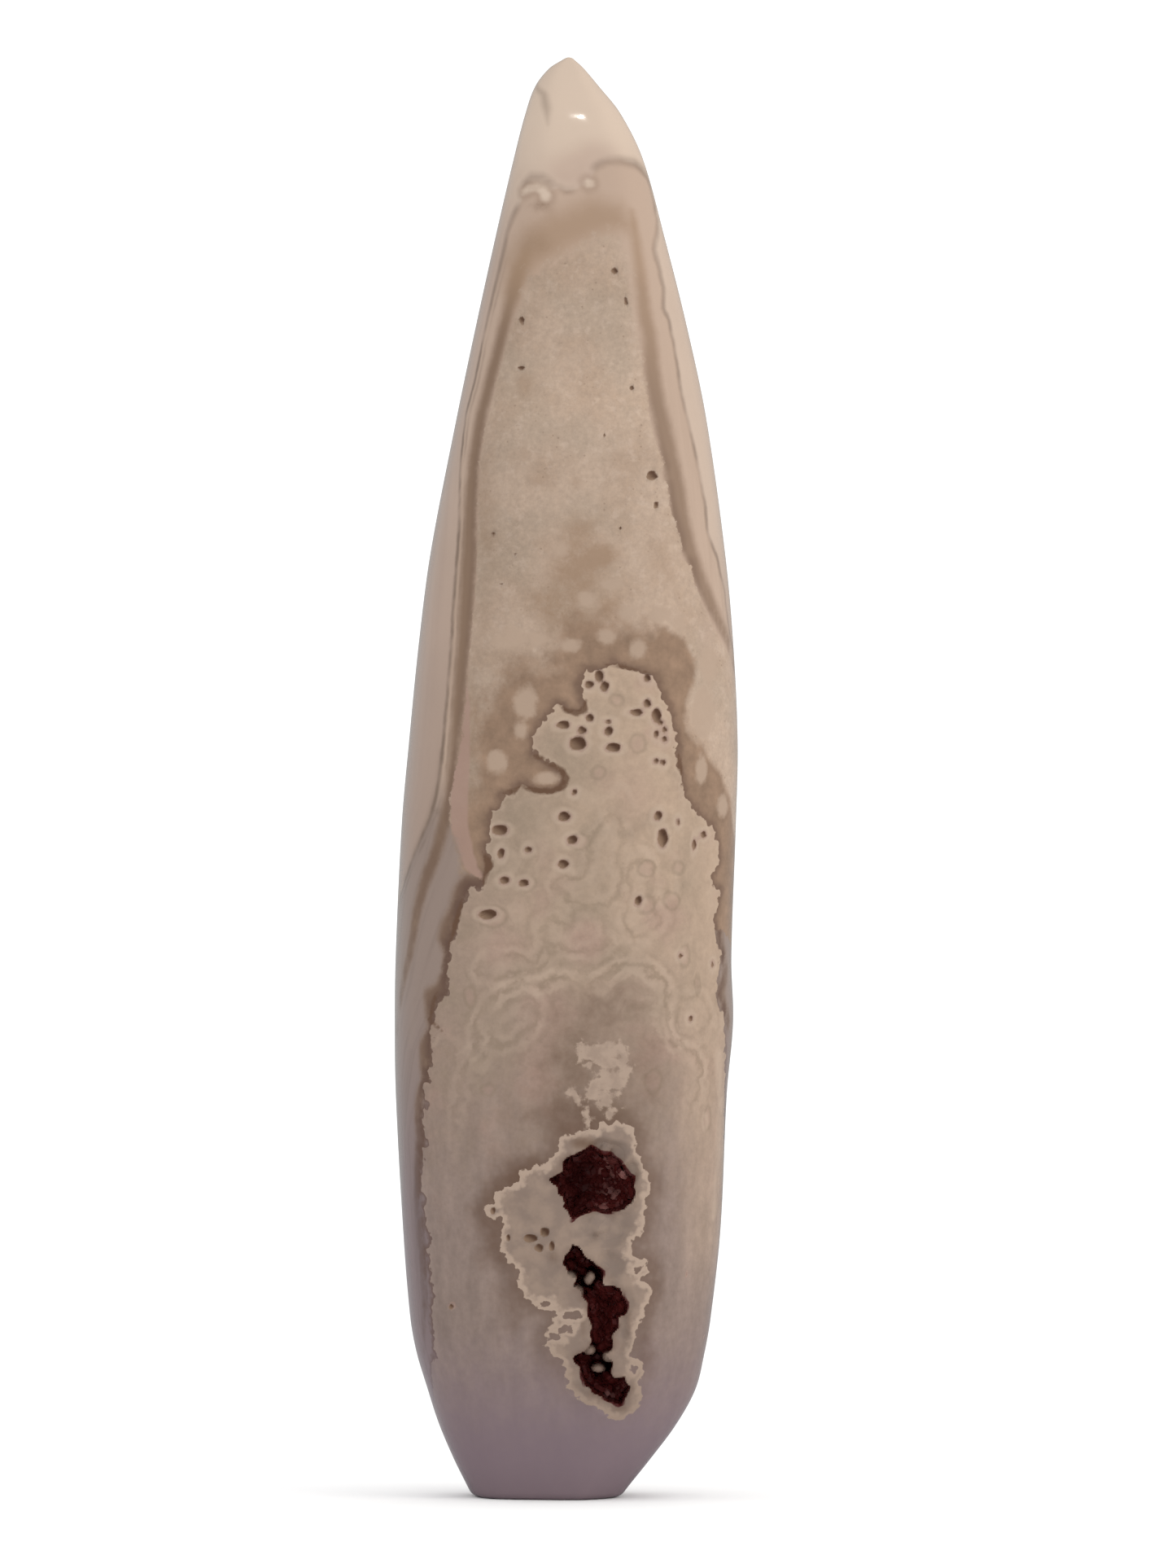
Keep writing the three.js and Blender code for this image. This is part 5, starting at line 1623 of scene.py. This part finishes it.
def druse_tree(material):
    """Geometry Nodes that stand quartz points on the faces marked `floor`."""
    tree = bpy.data.node_groups.new("druse", "GeometryNodeTree")
    for name, kind in (
        ("Geometry", "Geometry"), ("Radius", "Float"), ("Length", "Float"),
        ("Spacing", "Float"), ("Seed", "Int"), ("Point", "Object"),
    ):
        tree.interface.new_socket(name, in_out="INPUT", socket_type="NodeSocket" + kind)
    tree.interface.new_socket("Geometry", in_out="OUTPUT", socket_type="NodeSocketGeometry")
    nodes = Nodes(tree)
    given = nodes.add("NodeGroupInput").outputs

    def random(kind, low, high, offset):
        """A random value for each point, with a seed of its own."""
        seed = nodes.plus(given["Seed"], offset)
        inputs = {"Min": low, "Max": high, "Seed": seed}
        return nodes.add("FunctionNodeRandomValue", inputs, data_type=kind).outputs["Value"]

    floor = nodes.add("GeometryNodeInputNamedAttribute", {"Name": "floor"}, data_type="BOOLEAN")
    scatter = nodes.add(
        "GeometryNodeDistributePointsOnFaces",
        distribute_method="POISSON",
        inputs={
            "Mesh": given["Geometry"], "Selection": floor.outputs["Attribute"],
            "Distance Min": given["Spacing"], "Density Max": POINT_DENSITY,
            "Seed": given["Seed"],
        },
    )
    width = nodes.times(random("FLOAT", *WIDTHS, 1), given["Radius"])
    tall = nodes.times(random("FLOAT", *LENGTHS, 2), given["Length"])
    turn = random("FLOAT_VECTOR", (-LEAN, -LEAN, 0), (LEAN, LEAN, math.tau), 3)
    tilt = {"Rotation": scatter.outputs["Rotation"], "Rotate By": turn}
    tilted = nodes.add("FunctionNodeRotateRotation", tilt, rotation_space="LOCAL")
    shape = nodes.add("GeometryNodeObjectInfo", {"Object": given["Point"]})
    copies = nodes.add("GeometryNodeInstanceOnPoints", {
        "Points": scatter.outputs["Points"], "Instance": shape.outputs["Geometry"],
        "Rotation": tilted.outputs[0], "Scale": nodes.vector(width, width, tall),
    })
    toned = nodes.add(
        "GeometryNodeStoreNamedAttribute", data_type="FLOAT", domain="INSTANCE",
        inputs={
            "Geometry": copies.outputs[0], "Name": "tone", "Value": random("FLOAT", 0.0, 1.0, 4),
        },
    )
    joined = nodes.add("GeometryNodeJoinGeometry")
    for part in (given["Geometry"], toned.outputs[0]):
        nodes.feed(joined.inputs[0], part)
    real = nodes.add("GeometryNodeRealizeInstances", {0: joined.outputs[0]})
    dressed = {"Geometry": real.outputs[0], "Material": material}
    dressed = nodes.add("GeometryNodeSetMaterial", dressed).outputs[0]
    nodes.add("NodeGroupOutput", {"Geometry": dressed})
    return tree


def grow_druse(name, node, which, skin, sizes, tree, point):
    """The crust of one hollow with its quartz points, as one plain mesh."""
    vertices, faces, floor_count = crust_mesh(skin, which)
    base = mesh_object(name + "_base", vertices, faces)
    base.data.shade_flat()
    floor = base.data.attributes.new("floor", "BOOLEAN", "FACE")
    floor.data.foreach_set("value", [i < floor_count for i in range(len(faces))])
    modifier = base.modifiers.new("druse", "NODES")
    modifier.node_group = tree
    values = {
        "Radius": sizes.point_radius, "Length": sizes.point_length,
        "Spacing": sizes.point_spacing, "Seed": sizes.seed + which, "Point": point,
    }
    for item in tree.interface.items_tree:
        if item.in_out == "INPUT" and item.name in values:
            modifier[item.identifier] = values[item.name]
    graph = bpy.context.evaluated_depsgraph_get()
    grown = bpy.data.meshes.new_from_object(base.evaluated_get(graph))
    grown.name = name
    piece = new_object(name, grown)
    bpy.data.objects.remove(base)
    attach(piece, "root")
    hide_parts(node)
    return piece


# ---- the stage, in metres --------------------------------------------------------------------
FRAME_PIXELS = (1445, 1926)
STONE_PIXELS = 1766  # how many of them the stone is tall
STONE_MIDDLE = (695.5, 955.5)  # the pixel of the middle of its outline
SENSOR = 36.0  # long side of the camera's sensor, in millimetres
FARTHEST_SEEN = 40  # from the camera
FLOOR_RADIUS = 0.6
FLOOR_SIDES = 96
FLOOR_TINT = (0.96, 0.96, 0.96)
FLOOR_MIRRORED = (0.3, 0.29, 0.3)  # how dark the polished stone mirrors it
ROOM_LIGHT = 1.2  # brightness of the white room
ROOM_MIRRORED = 0.4  # and how bright the polish mirrors it
LIGHT_TINT = (1.0, 0.96, 0.9)
UPPER, MIDST = (0, 0, 0.13), (0, 0, 0.08)  # places in the stone that the lights face
# Soft lights: (name, place, what it faces, size, power, whether the polish mirrors it).
LIGHTS = (
    ("lamp", (0.0, -0.39, 0.41), UPPER, 0.004, 0.02, True),
    ("softbox", (0.6, -0.36, 0.26), MIDST, 0.5, 1.7, False),
    ("lamp_behind", (0.05, 0.39, 0.41), UPPER, 0.02, 0.03, True),
)


def paper_material():
    """Pale paper, darker where the polish mirrors it."""
    paint = Recipe("pale_paper")
    mirrored = paint.add("ShaderNodeLightPath").outputs["Is Glossy Ray"]
    return paint.finish(paint.mix(mirrored, FLOOR_TINT, FLOOR_MIRRORED), 0.95, gloss=0.1)


def make_floor():
    """A plain pale disc, wide enough to meet the pale room at the horizon."""
    shape = bmesh.new()
    bmesh.ops.create_circle(shape, cap_ends=True, segments=FLOOR_SIDES, radius=FLOOR_RADIUS)
    floor = new_object("pale_floor", new_mesh("pale_floor", shape))
    floor.data.materials.append(paper_material())
    return floor


def make_room():
    """An even white room, dimmer where the polish mirrors it."""
    room = bpy.data.worlds.new("soft_room")
    room.use_nodes = True
    nodes = Nodes(room.node_tree)
    mirrored = nodes.add("ShaderNodeLightPath").outputs["Is Glossy Ray"]
    levels = {"Value": mirrored, "To Min": ROOM_LIGHT, "To Max": ROOM_MIRRORED}
    light = room.node_tree.nodes["Background"].inputs
    nodes.feed(light["Color"], (1, 1, 1))
    nodes.feed(light["Strength"], nodes.add("ShaderNodeMapRange", levels).outputs["Result"])
    return room


def facing(direction):
    """The rotation of a light or a camera that faces that way."""
    return direction.to_track_quat("-Z", "Y").to_euler()


def soft_light(name, place, target, size, power, mirrored):
    """A square area light that faces a point; the polish mirrors it or doesn't."""
    data = bpy.data.lights.new(name, "AREA")
    data.size, data.energy, data.color = size, power, LIGHT_TINT
    lamp = new_object(name, data)
    lamp.visible_glossy = mirrored
    lamp.location = place
    lamp.rotation_euler = facing(Vector(target) - Vector(place))


def make_camera(sizes):
    """The camera, so far off and so placed that the stone fills the frame as it should."""
    pixel = HEIGHT * MM / STONE_PIXELS
    width, height = FRAME_PIXELS
    target = Vector((
        (width / 2 - STONE_MIDDLE[0]) * pixel,
        0,
        HEIGHT * MM / 2 - (height / 2 - STONE_MIDDLE[1]) * pixel,
    ))
    back = Vector((0, -math.cos(sizes.camera_elevation), math.sin(sizes.camera_elevation)))
    data = bpy.data.cameras.new("camera")
    data.sensor_width = SENSOR
    data.lens = SENSOR * sizes.camera_distance / (height * pixel)
    data.clip_end = FARTHEST_SEEN
    camera = new_object("camera", data)
    camera.location = target + back * sizes.camera_distance
    camera.rotation_euler = facing(-back)
    bpy.context.scene.camera = camera


class AGATE_OT_stage(bpy.types.Operator):
    """Makes the pale floor, the soft lights and the camera"""

    bl_idname = "agate.stage"
    bl_label = "Stage"

    def execute(self, context):
        make_camera(context.scene.agate_sizes)
        make_floor()
        context.scene.world = make_room()
        context.scene.view_settings.view_transform = "Standard"
        for light in LIGHTS:
            soft_light(*light)
        return {"FINISHED"}


class AGATE_OT_stone(bpy.types.Operator):
    """Makes the polished stone with its pattern"""

    bl_idname = "agate.stone"
    bl_label = "Polished stone"

    def execute(self, context):
        stone = make_stone(context.scene.agate_colours)
        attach(stone, "root")
        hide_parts(STONE)
        return {"FINISHED"}


class AGATE_OT_druse(bpy.types.Operator):
    """Grows the druse on the floors of the two hollows"""

    bl_idname = "agate.druse"
    bl_label = "Druse"

    def execute(self, context):
        skin, sizes = Skin(), context.scene.agate_sizes
        tree = druse_tree(druse_material(context.scene.agate_colours))
        point = quartz_point()
        grow_druse("upper_crystals", UPPER_DRUSE, 0, skin, sizes, tree, point)
        grow_druse("lower_crystals", LOWER_DRUSE, 1, skin, sizes, tree, point)
        return {"FINISHED"}


class AGATE_PT_panel(bpy.types.Panel):
    """Lists the steps and the sizes and colours they use"""

    bl_label = "Agate flame"
    bl_idname = "AGATE_PT_panel"
    bl_space_type = "VIEW_3D"
    bl_region_type = "UI"
    bl_category = "Agate"

    def draw(self, context):
        for step in OPERATORS:
            self.layout.operator(step.bl_idname)
        for group in (context.scene.agate_sizes, context.scene.agate_colours):
            for name in group.__annotations__:
                self.layout.prop(group, name)


OPERATORS = (AGATE_OT_stage, AGATE_OT_stone, AGATE_OT_druse)
CLASSES = (AgateColours, AgateSizes, *OPERATORS, AGATE_PT_panel)


def register():
    """Adds the classes and the scene's settings."""
    for cls in CLASSES:
        bpy.utils.register_class(cls)
    bpy.types.Scene.agate_sizes = PointerProperty(type=AgateSizes)
    bpy.types.Scene.agate_colours = PointerProperty(type=AgateColours)


def unregister():
    """Takes them away again."""
    del bpy.types.Scene.agate_colours
    del bpy.types.Scene.agate_sizes
    for cls in reversed(CLASSES):
        bpy.utils.unregister_class(cls)


def main():
    """Runs every step."""
    register()
    bpy.ops.agate.stage()
    bpy.ops.agate.stone()
    bpy.ops.agate.druse()


if __name__ == "__main__":
    main()
